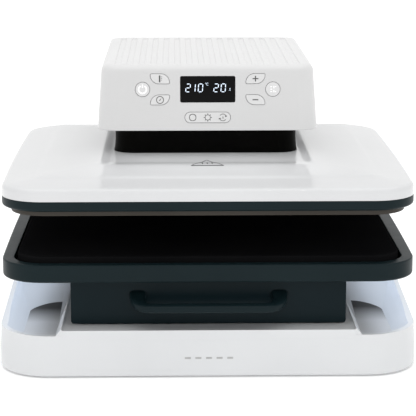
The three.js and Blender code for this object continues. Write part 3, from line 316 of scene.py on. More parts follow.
def ring(z, w, y0, y1, r, steps=CORNER, bow=0.0, back_steps=1):
    """Rounded rectangle at height z, anticlockwise seen from above, whose sides may bow out."""
    points = []
    corners = (
        (w / 2 - r, y0 + r, -90, 1),
        (w / 2 - r, y1 - r, 0, 0),
        (-w / 2 + r, y1 - r, 90, -1),
        (-w / 2 + r, y0 + r, 180, 0),
    )
    for cx, cy, start, side in corners:
        for i in range(steps + 1):
            a = math.radians(start + 90 * i / steps)
            points.append((cx + r * math.cos(a), cy + r * math.sin(a), z))
        if bow and side:
            ends = (y0 + r, y1 - r)[::side]
            for i in range(1, SIDE_STEPS):
                points.append((side * w / 2, ends[0] + (ends[1] - ends[0]) * i / SIDE_STEPS, z))
        if start == 0:
            for i in range(1, back_steps):
                points.append(((w / 2 - r) * (1 - 2 * i / back_steps), y1, z))
    if not bow:
        return points
    mid, half = (y0 + y1) / 2, (y1 - y0) / 2
    return [(x + x / (w / 2) * bow * (1 - ((y - mid) / half) ** 2), y, z) for x, y, z in points]


def loft(name, rings, mats=(WHITE,), tube=False):
    """Skin through rings with the same number of points, capped at both ends or joined up."""
    n = len(rings[0])
    k = len(rings)
    faces = []
    for i in range(k if tube else k - 1):
        for j in range(n):
            a, b = i * n, ((i + 1) % k) * n
            faces.append((a + j, a + (j + 1) % n, b + (j + 1) % n, b + j))
    if not tube:
        faces.append(tuple(range(n))[::-1])
        faces.append(tuple((k - 1) * n + j for j in range(n)))
    return make(name, [p for r in rings for p in r], faces, mats)


def bake(o):
    """Replaces the object's mesh with what its modifiers make of it."""
    dg = bpy.context.evaluated_depsgraph_get()
    mesh = bpy.data.meshes.new_from_object(o.evaluated_get(dg))
    o.modifiers.clear()
    o.data = mesh
    return o


def combine(o, tools, operation="DIFFERENCE"):
    """Cuts the tools out of the object, or adds them, and removes them."""
    for tool in tools:
        mod = o.modifiers.new("combine", "BOOLEAN")
        mod.operation = operation
        mod.solver = "EXACT"
        mod.object = tool
        bake(o)
        bpy.data.objects.remove(tool)
    return o


def merged(name, objects):
    """One object from several that don't touch."""
    points, faces, base = [], [], 0
    for o in objects:
        points += [tuple(v.co / MM) for v in o.data.vertices]
        faces += [tuple(base + i for i in p.vertices) for p in o.data.polygons]
        base = len(points)
        bpy.data.objects.remove(o)
    return make(name, points, faces)


def smooth(o, angle, bevel=0.0):
    """Smooth shading that keeps edges sharper than the angle, and rounds them if asked."""
    own_mesh = "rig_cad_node" not in o
    if bevel:
        mod = o.modifiers.new("round", "BEVEL")
        mod.width = bevel * MM
        mod.segments = 2
        mod.limit_method = "ANGLE"
        mod.angle_limit = math.radians(angle)
        if own_mesh:
            bake(o)
    if own_mesh:
        bm = bmesh.new()
        bm.from_mesh(o.data)
        for f in bm.faces:
            f.smooth = True
        for e in bm.edges:
            e.smooth = len(e.link_faces) == 2 and e.calc_face_angle(0) < math.radians(angle)
        bm.to_mesh(o.data)
        bm.free()
    mod = o.modifiers.new("weigh", "WEIGHTED_NORMAL")
    mod.keep_sharp = True
    return o


def place(o, body, slot, replaced=()):
    """Ties a piece to its body and hides the CAD nodes that it stands for; the slot argument is not
    used.
    """
    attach(o, body)
    if replaced:
        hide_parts(*replaced)


def box(name, x0, x1, y0, y1, z0, z1):
    points = [(x, y, z) for x in (x0, x1) for y in (y0, y1) for z in (z0, z1)]
    faces = [(0, 1, 3, 2), (4, 6, 7, 5), (0, 4, 5, 1), (2, 3, 7, 6), (0, 2, 6, 4), (1, 5, 7, 3)]
    return make(name, points, faces)


# ---- Control face ---------------------------------------------------------------------------
def face_point(u, v, n):
    """A point u along the control face, v up it and n proud of it."""
    s, c = math.sin(HEAD_TILT), math.cos(HEAD_TILT)
    return (u, FACE_Y + v * s - n * c, FACE_Z + v * c + n * s)


def outline(w, h, radii, steps=8):
    """Rounded rectangle in u and v with its own radius at each corner."""
    points = []
    a, b, c, d = radii
    corners = (
        (w / 2 - b, -h / 2 + b, b, -90),
        (w / 2 - c, h / 2 - c, c, 0),
        (-w / 2 + d, h / 2 - d, d, 90),
        (-w / 2 + a, -h / 2 + a, a, 180),
    )
    for cx, cy, r, start in corners:
        for i in range(steps + 1):
            t = math.radians(start + 90 * i / steps)
            points.append((cx + r * math.cos(t), cy + r * math.sin(t)))
    return points


def key_outline(kind, grow, falling):
    if kind == "round":
        return [
            ((ROUND_KEY_R + grow) * math.cos(a), (ROUND_KEY_R + grow) * math.sin(a))
            for a in (math.tau * i / 48 for i in range(48))
        ]
    if kind == "mode":
        r = MODE_H / 2 + grow - 0.01
        return outline(MODE_W + 2 * grow, MODE_H + 2 * grow, (r, r, r, r), 12)
    if kind == "window":
        r = WINDOW_R + grow
        return outline(WINDOW_W + 2 * grow, WINDOW_H + 2 * grow, (r, r, r, r))
    big, small = LEAF_H - 1.2 + grow, max(1 + grow, 0.3)
    radii = (big, small, big, small) if falling else (small, big, small, big)
    return outline(LEAF_W + 2 * grow, LEAF_H + 2 * grow, radii, 10)


KEYS = (
    ("power_key", "round", -65, ROW_V, False),
    ("temperature_key", "leaf", -LEAF_U, ROW_V + LEAF_V, True),
    ("timer_key", "leaf", -LEAF_U, ROW_V - LEAF_V, False),
    ("plus_key", "leaf", LEAF_U, ROW_V + LEAF_V, False),
    ("minus_key", "leaf", LEAF_U, ROW_V - LEAF_V, True),
    ("unit_key", "round", 65, ROW_V, False),
    ("mode_key", "mode", 0, -19.3, False),
)


def face_loft(name, kind, u, v, falling, levels, mats=(KEY_WHITE,)):
    """Skin through outlines on the face; levels are (height, growth)."""
    rings = [
        [face_point(u + p, v + q, n) for p, q in key_outline(kind, grow, falling)]
        for n, grow in levels
    ]
    return loft(name, rings, mats)


def stroke(points, width, closed=False):
    """Outline of a line of even width through points in a plane."""
    left, right = [], []
    n = len(points)
    for i, (x, y) in enumerate(points):
        before = points[(i - 1) % n] if closed or i else points[i]
        after = points[(i + 1) % n] if closed or i < n - 1 else points[i]
        d = Vector((after[0] - before[0], after[1] - before[1])).normalized()
        left.append((x - d.y * width / 2, y + d.x * width / 2))
        right.append((x + d.y * width / 2, y - d.x * width / 2))
    return left, right


def arc(cx, cy, r, a0, a1, steps=24):
    return [
        (
            cx + r * math.cos(math.radians(a0 + (a1 - a0) * i / steps)),
            cy + r * math.sin(math.radians(a0 + (a1 - a0) * i / steps)),
        )
        for i in range(steps + 1)
    ]


def printed(name, lines, at, mat, low=-0.05, high=0.04):
    """Raised print: each line is (points, width, closed); at(u, v, n) places a point."""
    points, faces = [], []
    for path, width, closed in lines:
        left, right = stroke(path, width, closed)
        n = len(path)
        base = len(points)
        for side in (left, right):
            for height in (low, high):
                points += [at(u, v, height) for u, v in side]
        ll, lh, rl, rh = (base + k * n for k in range(4))
        for i in range(n if closed else n - 1):
            j = (i + 1) % n
            faces += [
                (lh + i, lh + j, rh + j, rh + i),
                (ll + i, rl + i, rl + j, ll + j),
                (ll + i, ll + j, lh + j, lh + i),
                (rl + i, rh + i, rh + j, rl + j),
            ]
        if not closed:
            for e in (0, n - 1):
                faces.append((ll + e, lh + e, rh + e, rl + e))
    return make(name, points, faces, (mat,))


def glyph_lines(name):
    """The sign on a key, as lines of the kind that printed() takes."""
    if name == "power_key":
        return [(arc(0, 0, 3.9, 118, 422, 40), 1.7, False), ([(0, 1.6), (0, 5)], 1.5, False)]
    if name == "temperature_key":
        ticks = [([(0.9, v), (2.1, v)], 0.5, False) for v in (-1.2, 0.4, 2.0)]
        return [([(-0.3, -3.4), (-0.3, 3.4)], 1.4, False), *ticks]
    if name == "timer_key":
        dial = arc(0, 0, 3.5, 0, 360, 32)[:-1]
        return [(dial, 0.75, True), ([(-0.9, -0.9), (0, 0), (1.2, 1.4)], 0.6, False)]
    if name == "plus_key":
        return [
            ([(-2.9, 0), (2.9, 0)], 1.1, False),
            ([(0, 0.55), (0, 2.8)], 1.1, False),
            ([(0, -2.8), (0, -0.55)], 1.1, False),
        ]
    if name == "minus_key":
        return [([(-2.9, 0), (2.9, 0)], 1.1, False)]
    if name == "unit_key":
        bars = [([(-2.6, v), (-0.7, v)], 1.1, False) for v in (-2.4, 0, 2.4)]
        right = [([(1.0, low), (1.0, low + 2.4)], 1.1, False) for low in (-3.2, 0.8)]
        tips = [([(2.0, v), (3.4, v)], 1.0, False) for v in (-2.6, 2.6)]
        return bars + right + tips
    return mode_lines()


def mode_lines():
    """Three signs side by side: a ring with four knobs, a sun, and two arrows round a roof."""
    lines = [([(p - SIGN_U, q) for p, q in arc(0, 0, 3.3, 0, 360, 32)[:-1]], 0.65, True)]
    for k in range(4):
        a = math.radians(45 + 90 * k)
        spot = [(-SIGN_U + r * math.cos(a), r * math.sin(a)) for r in (3.5, 3.8)]
        lines.append((spot, 1.3, False))
    lines.append((arc(0, 0, 2.6, 0, 360, 28)[:-1], 0.55, True))
    for k in range(8):
        a = math.radians(45 * k)
        ray = [(r * math.cos(a), r * math.sin(a)) for r in (2.95, 4.0)]
        lines.append((ray, 0.75, False))
    for start in (20, 200):
        sweep = [(p + SIGN_U, q) for p, q in arc(0, 0, 3.4, start, start + 125, 18)]
        lines.append((sweep, 0.6, False))
        a = math.radians(start)
        head = [(SIGN_U + r * math.cos(a), r * math.sin(a)) for r in (2.3, 4.5)]
        lines.append((head, 0.9, False))
    roof = ((-0.8, -1.2), (0, 1.2), (0.8, -1.2))
    lines.append(([(SIGN_U + p, q) for p, q in roof], 0.5, False))
    return lines


def build_keys():
    for name, kind, u, v, falling in KEYS:
        top = KEY_PROUD
        levels = [(-4.4, 1), (-3.4, 1), (-3.4, 0), (top - 0.45, 0), (top - 0.18, -0.06)]
        levels += [(top - 0.05, -0.2), (top, -0.45)]
        cap = smooth(face_loft(name + "_cap", kind, u, v, falling, levels), 40)
        place(cap, name, "key_white", (name,))
        bright = name in ("power_key", "unit_key")
        sign = printed(
            name + "_sign",
            glyph_lines(name),
            lambda p, q, n, u=u, v=v: face_point(u + p, v + q, top + n),
            GLYPH_WHITE if bright else GLYPH_GREY,
        )
        place(sign, name, "key_white")


# Which of the seven bars each digit lights: top, two upper sides, middle, two lower sides, bottom
DIGITS = {
    "0": "TLRlrB",
    "1": "Rr",
    "2": "TRMlB",
}


def digit_lines(sign, u, v):
    """The lit bars of one digit, centred on u and v and leaning to the right."""
    half_w, half_h = (DIGIT_W - DIGIT_BAR) / 2, (DIGIT_H - DIGIT_BAR) / 2
    gap = 0.42  # from a bar's end to the corner where bars would meet
    tuck = 0.35  # how much shorter the level bars are at each end

    def at(x, y):
        return (u + x + DIGIT_SLANT * y, v + y)

    upright = {
        "L": (-half_w, 0, half_h),
        "R": (half_w, 0, half_h),
        "l": (-half_w, -half_h, 0),
        "r": (half_w, -half_h, 0),
    }
    level = {"T": half_h, "M": 0, "B": -half_h}
    lines = []
    for bar in DIGITS[sign]:
        if bar in level:
            y = level[bar]
            ends = [at(-half_w + gap + tuck, y), at(half_w - gap - tuck, y)]
            lines.append((ends, DIGIT_BAR, False))
        else:
            x, y0, y1 = upright[bar]
            lines.append(([at(x, y0 + gap), at(x, y1 - gap)], DIGIT_BAR, False))
    return lines


def build_display():
    """Glass pane in the head's window, with lit digits and unit signs printed on it."""
    levels = [(-2, 0), (-0.25, 0), (-0.06, -0.06), (0, -0.25)]
    window = smooth(face_loft("display_pane", "window", 0, ROW_V, False, levels, (GLASS,)), 50)
    place(window, "base", "display_glass", ("display_window",))

    def on_pane(p, q, n):
        return face_point(p, ROW_V + q, n)

    lines = []
    for sign, u in (("2", -19.6), ("1", -14.6), ("0", -7.2), ("2", 8.4), ("0", 15.5)):
        lines += digit_lines(sign, u, DIGIT_V)
    place(printed("display_digits", lines, on_pane, SEGMENT), "base", "display_glass")
    seconds = [(22.9, 0.9), (21.9, 0.8), (21.6, 0.1), (22.6, -0.5), (22.4, -1.3), (21.3, -1.5)]
    small = [
        (arc(-2.0, 5.9, 0.45, 0, 360, 12)[:-1], 0.3, True),
        (arc(-0.1, 5.1, 1.15, 55, 305, 14), 0.45, False),
        (seconds, 0.45, False),
    ]
    place(printed("display_units", small, on_pane, SEGMENT_DIM), "base", "display_glass")


# ---- Head and column ------------------------------------------------------------------------
def back_y(z, inset=0.0):
    """The rear line of head and column: upright, then a large arc over to the top."""
    cy, cz, r = COLUMN[3] - BACK_R, HEAD[5] - BACK_R, BACK_R - inset
    if z <= cz:
        return cy + r
    return cy + math.sqrt(max(r * r - (z - cz) ** 2, 0))


def head_width(z):
    share = (z - HEAD[4]) / (HEAD[5] - HEAD[4])
    return (HEAD[1] - HEAD[0]) * (1 - share) + HEAD_TOP_W * share


def head_front(z):
    return HEAD[2] + (z - HEAD[4]) * math.tan(HEAD_TILT)


def head_rings(inset):
    """Rings of the head's skin, from its lower edge to the roll at its top."""
    edge, top = HEAD_EDGE - inset, HEAD[5] - inset
    start = HEAD[4]
    steps = [(start, 0.0 if inset else 0.9), (start + 0.3, 0.0 if inset else 0.35)]
    steps.append((start + 0.9, 0.0))
    wall_steps, roll_steps = 9, 7
    first = math.asin((start - HEAD[5] + BACK_R) / BACK_R)
    last = math.asin((top - edge - HEAD[5] + BACK_R) / BACK_R)
    for i in range(1, wall_steps + 1):
        a = first + (last - first) * i / wall_steps
        steps.append((HEAD[5] - BACK_R + BACK_R * math.sin(a), 0.0))
    for i in range(1, roll_steps + 1):
        a = math.pi / 2 * i / roll_steps
        steps.append((top - edge + edge * math.sin(a), edge - edge * math.cos(a)))
    rings = []
    for z, roll in steps:
        w = head_width(z) - 2 * inset - 2 * roll
        r = max(HEAD_R - inset - roll, 6)
        rings.append(ring(z, w, head_front(z) + inset + roll, back_y(z, inset), r))
    return rings


def build_head():
    """Head shell, open below, with its ribs, the display's window and the keys' openings."""
    outer, inner = head_rings(0), head_rings(WALL)
    n = len(outer[0])
    points = [p for r in outer + inner for p in r]
    faces = []
    for base in (0, len(outer)):
        for i in range(base, base + len(outer) - 1):
            for j in range(n):
                k = (j + 1) % n
                faces.append((i * n + j, i * n + k, (i + 1) * n + k, (i + 1) * n + j))
        faces.append(tuple((base + len(outer) - 1) * n + j for j in range(n)))
    rim = len(outer) * n
    faces += [(j, (j + 1) % n, rim + (j + 1) % n, rim + j) for j in range(n)]
    head = make("head_cover", points, faces, (WHITE,))
    tools = []
    top = HEAD[5]
    y0, y1 = head_front(top) + HEAD_EDGE + 4, COLUMN[3] - BACK_R - 4
    groove = ((-1.0, 2.1), (-0.9, 2.5), (-0.6, 2.85), (0, 3.3), (2, 3.6))
    for i in range(RIB_COUNT):
        x = (i - (RIB_COUNT - 1) / 2) * RIB_PITCH
        rings = []
        for dz, half in groove:
            r = ring(top + dz, 2 * half, y0 + 3.3 - half, y1 - 3.3 + half, half - 0.01, 6)
            rings.append([(x + a, b, c) for a, b, c in r])
        tools.append(loft("rib", rings))
    windows = [(k, u, v, f) for _, k, u, v, f in KEYS] + [("window", 0, ROW_V, False)]
    for kind, u, v, falling in windows:
        gap = 0.3 if kind == "window" else KEY_CLEAR
        levels = [(-6, gap), (-0.2, gap), (0, gap + 0.15), (1.5, gap + 1.5)]
        tools.append(face_loft("opening", kind, u, v, falling, levels))
    combine(head, [merged("tools", tools)])
    smooth(head, 30)
    place(head, "base", "white_plastic", ("head_shell",))


def build_column():
    """Hollow housing of the column, with the opening for the vented rear cover."""
    def rings(inset):
        steps = 10
        curve = HEAD[5] - BACK_R
        zs = [COLUMN[4], COLUMN[4] + 4, curve]
        zs += [curve + (COLUMN[5] - curve) * i / steps for i in range(1, steps + 1)]
        w = COLUMN[1] - COLUMN[0] - 2 * inset
        return [ring(z, w, COLUMN[2] + inset, back_y(z, inset), 12 - inset, 8) for z in zs]

    column = loft("column_housing", rings(0) + rings(WALL)[::-1], (WHITE,), tube=True)
    x0, x1, _, _, z0, z1 = span("rear_cover")
    w, h = x1 - x0 + 0.6, z1 - z0 + 0.6
    hole = [
        [(p, y, (z0 + z1) / 2 + q) for p, q in outline(w, h, (5.3,) * 4)]
        for y in (COLUMN[3] - 10, COLUMN[3] + 5)
    ]
    combine(column, [loft("hole", hole)])
    place(smooth(column, 35), "base", "white_plastic", ("column_cover",))


# ---- Cover of the heated platen ---------------------------------------------------------------
def smoothstep(a, b, x):
    t = min(max((x - a) / (b - a), 0), 1)
    return t * t * (3 - 2 * t)


def spread(a, b, step, extra=()):
    """Even places from a to b, with the extra ones among them."""
    n = max(1, round((b - a) / step))
    places = [a + (b - a) * i / n for i in range(n + 1)]
    places = [p for p in places if all(abs(p - e) > 0.35 * step for e in extra)]
    return sorted(places + list(extra))


def rounder(points, y1, half_w):
    """Pulls the two back corners in, to a larger radius."""
    reach = 55  # how far from the corner the pull starts
    out = []
    for x, y, z in points:
        a = max(0, abs(x) - (half_w - reach)) / reach
        b = max(0, y - (y1 - reach)) / reach
        pull = 3.8 * (a * b / 0.6) ** 2
        out.append((x - math.copysign(pull, x), y - pull, z))
    return out


def build_cover():
    """Cover of the heated platen: a rounded band, a crown, and a trough under the neck."""
    x0, x1, y0, y1, z0, _ = span("platen_cover")
    shoulder = z0 + SHOULDER_H
    crown_z = shoulder + BAND_RISE
    top = shoulder + CROWN_H
    w, d = x1 - x0 - 2 * COVER_BOW, y1 - y0
    r = COVER_R
    edge = (
        (0, z0), (0, shoulder - 5.2), (0.15, shoulder - 3.8), (0.6, shoulder - 2.4),
        (1.4, shoulder - 1.2), (2.6, shoulder - 0.35), (4.2, shoulder + 0.2), (7, shoulder + 0.75),
        (12, shoulder + 1.55), (18, shoulder + 2.45), (24, shoulder + 3.3), (29, shoulder + 4.0),
        (32, shoulder + 4.5), (34, shoulder + 4.95), (36, shoulder + 5.45), (38.5, shoulder + 5.95),
    )
    half = TROUGH_W / 2
    trough_x = [s * (half + o) for s in (-1, 1) for o in (-9, -7, -5, -3, -1.2, 0.6, 2.4)]
    inner_x = spread(-w / 2 + r, w / 2 - r, 6, trough_x)
    inner_y = spread(y0 + r, y1 - r, 5)
    trough_z = top - TROUGH_DEPTH

    def crown(x, y):
        inward = min(w / 2 - abs(x), y - y0, y1 - y)
        rest = max(0, inward - r)
        return crown_z + (top - crown_z) * (1 - (1 - min(rest / 110, 1)) ** 2.2)

    def height(x, y, z):
        share = smoothstep(half + 2.4, half - 9, abs(x))
        share *= smoothstep(y0 + TROUGH_START, y0 + TROUGH_START + TROUGH_RAMP, y)
        return z + (min(trough_z, z) - z) * share

    points, faces, index = [], [], {}

    def vertex(x, y, z):
        key = (round(x, 3), round(y, 3), round(z, 3))
        if key not in index:
            index[key] = len(points)
            points.append((x, y, z))
        return index[key]

    def outline_at(inward, z):
        """Ring of the band, whose straight sides share their places with the crown's grid."""
        steps = CORNER + 4
        rr = r - inward
        ring_points = [(x, y0 + inward) for x in inner_x]
        corner = (
            (w / 2 - r, y0 + r, -90, [(w / 2 - inward, y) for y in inner_y]),
            (w / 2 - r, y1 - r, 0, [(x, y1 - inward) for x in reversed(inner_x)]),
            (-w / 2 + r, y1 - r, 90, [(-w / 2 + inward, y) for y in reversed(inner_y)]),
            (-w / 2 + r, y0 + r, 180, []),
        )
        for cx, cy, start, side in corner:
            for i in range(1, steps):
                a = math.radians(start + 90 * i / steps)
                ring_points.append((cx + rr * math.cos(a), cy + rr * math.sin(a)))
            ring_points += side
        return [(x, y, height(x, y, z)) for x, y in ring_points]

    rings = [outline_at(i, z) for i, z in edge]
    rings.append(outline_at(r, crown_z))
    mid = y0 + d / 2
    in_x, in_y = 1 - COVER_WALL / (w / 2), 1 - COVER_WALL / (d / 2)
    under = [(x * in_x, mid + (y - mid) * in_y, z0) for x, y, _ in rings[0]]
    for r0, r1 in zip([under] + rings, rings):
        ids0 = [vertex(*p) for p in r0]
        ids1 = [vertex(*p) for p in r1]
        n = len(ids0)
        for j in range(n):
            quad = [ids0[j], ids0[(j + 1) % n], ids1[(j + 1) % n], ids1[j]]
            quad = [q for i, q in enumerate(quad) if q != quad[i - 1]]
            if len(quad) >= 3:
                faces.append(tuple(quad))
    grid = [[vertex(x, y, height(x, y, crown(x, y))) for x in inner_x] for y in inner_y]
    for ra, rb in zip(grid, grid[1:]):
        for j in range(len(inner_x) - 1):
            faces.append((ra[j], ra[j + 1], rb[j + 1], rb[j]))
    faces.append(tuple(vertex(*p) for p in under)[::-1])
    bow = [COVER_BOW * (1 - ((y - mid) / (d / 2)) ** 2) for _, y, _ in points]
    points = [(x + (2 * x / w) ** 3 * b, y, z) for (x, y, z), b in zip(points, bow)]
    cover = make("cover_top", rounder(points, y1, w / 2), faces, (GLOSS_WHITE,))
    skin = BVHTree.FromPolygons(
        [v.co for v in cover.data.vertices], [p.vertices for p in cover.data.polygons]
    )
    smooth(cover, 40)
    place(cover, "press", "white_plastic", ("platen_cover",))
    build_cover_mark(skin, y0 + 95, top)


def build_cover_mark(skin, middle, top):
    """Generic mark printed where the trough begins: a roof shape over three short bars."""

    def on_cover(p, q, n):
        above = Vector((p, middle + q, top + 50)) * MM
        spot = skin.ray_cast(above, Vector((0, 0, -1)))[0]
        return (p, middle + q, spot.z / MM + n)

    def steps(x0, q0, x1, q1):
        return [(x0 + (x1 - x0) * i / 16, q0 + (q1 - q0) * i / 16) for i in range(17)]

    half_w, half_h = 16.5, 19
    lines = [
        (steps(-half_w, -half_h, 0, half_h)[:-1] + steps(0, half_h, half_w, -half_h), 1.1, False),
        (steps(-half_w, 0.5 - half_h, half_w, 0.5 - half_h), 2.6, False),
    ]
    lines += [(steps(p, -10, p, 3), 1.2, False) for p in (-5, 0, 5)]
    place(printed("cover_mark", lines, on_cover, GLYPH_GREY, -0.3, 0.1), "press", "white_plastic")


def build_trim():
    """Dark band under the cover, over a set-back lip that frames the heated platen."""
    x0, x1, y0, y1, z0, z1 = span("platen_trim")
    z0 -= 0.4
    step = z0 + TRIM_STEP
    p0, p1, q0, q1, _, _ = span("heating_platen")
    half_w = (x1 - x0) / 2 - COVER_BOW

    def at(z, inset):
        w = 2 * (half_w - inset)
        points = ring(z, w, y0 + inset, y1 - inset, COVER_R - inset, 18, COVER_BOW)
        return rounder(points, y1, half_w)

    def bore(z):
        return ring(z, p1 - p0 + 0.6, q0 - 0.3, q1 + 0.3, 30.3, 18, 0.001)

    outer = [
        (z0, 9.8), (z0 + 0.3, 9.3), (z0 + 1.0, 9.0), (step - 0.4, 9.0), (step - 0.1, 8.6),
        (step, 8.0), (step + 0.15, 5.0), (step + 0.6, 2.6), (step + 1.3, 1.2), (step + 2.3, 0.35),
        (step + 3.6, 0), (z1 - 0.5, 0), (z1, 0.5),
    ]
    rings = [at(z, i) for z, i in outer] + [bore(z1), bore(z0)]
    trim = loft("trim_band", rings, (SLATE, LIP), tube=True)
    for p in trim.data.polygons:
        if p.center.z < (step - 0.05) * MM:
            p.material_index = 1
    place(smooth(trim, 35), "press", "slate_plastic", ("platen_trim",))


def build_shroud():
    """Black neck between head and cover, flared at its foot and cut back behind the head."""
    x0, x1, y0, y1, z0, z1 = span("neck_shroud")
    flare = 1.4
    w, r = x1 - x0 - 2 * flare, 22
    ya, yb = y0 + flare, y1 - flare

    def skin(inset):
        steps = [(z0, flare), (z0 + 1.5, flare * 0.82), (z0 + 4, flare * 0.52)]
        steps += [(z0 + 7, flare * 0.28), (z0 + 10.5, flare * 0.08), (z0 + 14, 0), (z1, 0)]
        return [
            ring(z, w - 2 * inset + 2 * g, ya + inset - g, yb - inset + g, r - inset, FINE_CORNER)
            for z, g in steps
        ]

    shroud = loft("shroud", skin(0) + skin(2.5)[::-1], (BLACK,), tube=True)
    combine(shroud, [box("notch", x0 - 50, x1 + 50, yb - r, yb + 10, HEAD[4], z1 + 5)])
    place(smooth(shroud, 30), "press", "black_plastic", ("neck_shroud",))


# ---- Drawer ---------------------------------------------------------------------------------
def build_tray():
    """Tray with a rim round the pad, its edges rounded over."""
    x0, x1, y0, y1, z0, z1 = span("drawer_tray")
    w, r, rim = x1 - x0 - 2 * TRAY_BOW, TRAY_R, TRAY_RIM

    def at(z, inset):
        bow = TRAY_BOW if inset < rim / 2 else 0.001
        return ring(z, w - 2 * inset, y0 + inset, y1 - inset, r - inset, FINE_CORNER, bow)

    steps = [
        (z0, 2.6), (z0 + 0.25, 1.5), (z0 + 0.9, 0.6), (z0 + 1.8, 0.12), (z0 + 2.8, 0),
        (z1 - 1.5, 0), (z1 - 0.8, 0.13), (z1 - 0.3, 0.5), (z1 - 0.05, 1.1), (z1, 1.8),
        (z1, rim - 1.0), (z1 - 0.1, rim - 0.5), (z1 - 0.4, rim - 0.15), (z1 - 0.9, rim),
        (z0 + 3.0, rim),
    ]
    tray = loft("tray", [at(z, i) for z, i in steps], (SLATE,))
    place(smooth(tray, 35), "drawer", "slate_plastic", ("drawer_tray",))


def build_pad():
    """Silicone sponge pad, cut flat, with rounded edges."""
    x0, x1, y0, y1, z0, z1 = span("silicone_pad")
    steps = [(z0, 0.4), (z0 + 0.4, 0), (z1 - 1.7, 0), (z1 - 1.0, 0.16), (z1 - 0.45, 0.55)]
    steps += [(z1 - 0.12, 1.15), (z1, 1.9), (z1, 8), (z1, 30)]
    rings = [ring(z, x1 - x0 - 2 * i, y0 + i, y1 - i, max(30 - i, 2), 16) for z, i in steps]
    pad = loft("pad", rings, (PAD,))
    place(smooth(pad, 35), "drawer", "silicone", ("silicone_pad",))


def build_drawer_front():
    """Front panel of the drawer, rounded towards its face."""
    x0, x1, y0, y1, z0, z1 = span("drawer_front")
    w, h, zc = x1 - x0, z1 - z0, (z0 + z1) / 2

    def at(y, inset):
        shape = outline(w - 2 * inset, h - 2 * inset, (3 - inset / 2,) * 4)
        return [(p, y, zc + q) for p, q in shape]

    steps = [(y1, 0), (y0 + 0.8, 0), (y0 + 0.3, 0.15), (y0 + 0.06, 0.45), (y0, 0.9)]
    panel = loft("front_panel", [at(y, i) for y, i in steps], (PANEL,))
    place(smooth(panel, 40), "drawer", "slate_plastic", ("drawer_front",))


def build_handle():
    """Bow handle: a rounded bar bent round two corners, swept forward and down from the panel."""
    x0, x1, y0, y1, z0, z1 = span("handle")
    arm, depth, bend = 16.0, 14.6, 17.0
    reach_x = (x1 - x0) / 2 - arm / 2
    bar_y = y0 + depth / 2
    bar_z, root_z = z0 + 4.2, z1 - 5.2
    arm_steps, bend_steps, bar_steps = 5, 10, 12
    path = []
    for i in range(arm_steps):
        path.append((-reach_x, y1 + (bar_y + bend - y1) * i / arm_steps))
    for i in range(bend_steps + 1):
        a = math.radians(180 + 90 * i / bend_steps)
        path.append((-reach_x + bend + bend * math.cos(a), bar_y + bend + bend * math.sin(a)))
    half_path = list(path)
    for i in range(1, bar_steps):
        path.append((-reach_x + bend + (reach_x - bend) * 2 * i / bar_steps, bar_y))
    path += [(-x, y) for x, y in half_path][::-1]
    section = outline(1, 1, (0.32,) * 4, 5)
    rings = []
    for i, (x, y) in enumerate(path):
        before, after = path[max(i - 1, 0)], path[min(i + 1, len(path) - 1)]
        t = Vector((after[0] - before[0], after[1] - before[1])).normalized()
        side = Vector((-t.y, t.x))
        share = smoothstep(bar_y + 2, y1, y)
        root = smoothstep(y1 - 5, y1, y)
        width = depth + (arm - depth) * share + 1.2 * root - 0.6
        tall = 8.2 + 1.0 * share + 0.8 * root
        z = bar_z + (root_z - bar_z) * share
        rings.append(
            [(x + side.x * p * width, y + side.y * p * width, z + q * tall) for p, q in section]
        )
    for r in (rings[0], rings[-1]):
        for k, (x, y, z) in enumerate(r):
            r[k] = (x, y1, z)
    bow = loft("bow_handle", rings, (SLATE,))
    place(smooth(bow, 50), "drawer", "slate_plastic", ("handle",))


# ---- Base -----------------------------------------------------------------------------------
def base_block():
    """Outer body of the base, up to the deck's height, with its lower edge rounded in."""
    x0, x1, y0, y1, z0, z1 = span("base_shell")
    w = x1 - x0
    edge = ((0, 2.5), (0.3, 1.5), (1, 0.7), (2.2, 0.2), (4, 0), (20, 0))
    rings = [
        ring(z0 + up, w - 2 * i, y0 + i, y1 - i, BASE_R - i, BASE_CORNER) for up, i in edge
    ]
    rings.append(ring(z1 + 1, w - 10, y0 + 2, y1, BASE_R, BASE_CORNER))
    return loft("base_housing", rings, (BASE_WHITE,))


def side_view():
    """The base seen from the side: the wings' rim climbs from the front lip to the rear deck."""
    x0, x1, y0, y1, z0, z1 = span("base_shell")
    w, lip, deck_y = x1 - x0, LIP_Z, y1 - DECK_D
    deck_steps, wing_steps = 8, 24
    line = [(y0 - 5, z0 - 5), (y1 + 5, z0 - 5), (y1 + 5, z1 - DECK_R), (y1, z1 - DECK_R)]
    for i in range(1, deck_steps + 1):
        a = math.pi / 2 * i / deck_steps
        line.append((y1 - DECK_R + DECK_R * math.cos(a), z1 - DECK_R + DECK_R * math.sin(a)))
    line += [(deck_y, z1), (deck_y, lip + WING_RISE)]
    near = y0 + 60
    middle = (near + deck_y) / 2
    for i in range(1, wing_steps + 1):
        t = i / wing_steps
        far_share, mid_share, near_share = (1 - t) ** 2, 2 * t * (1 - t), t * t
        y = far_share * deck_y + mid_share * middle + near_share * near
        z = far_share * (lip + WING_RISE) + mid_share * (lip + WING_RISE * 0.49)
        line.append((y, z + near_share * (lip + 2)))
    line.append((y0 - 5, lip - 0.2))
    n = len(line)
    points = [(x, y, z) for x in (-w, w) for y, z in line]
    faces = [tuple(range(n)), tuple(range(n, 2 * n))[::-1]]
    faces += [(i, (i + 1) % n, n + (i + 1) % n, n + i) for i in range(n)]
    return make("side_view", points, faces)


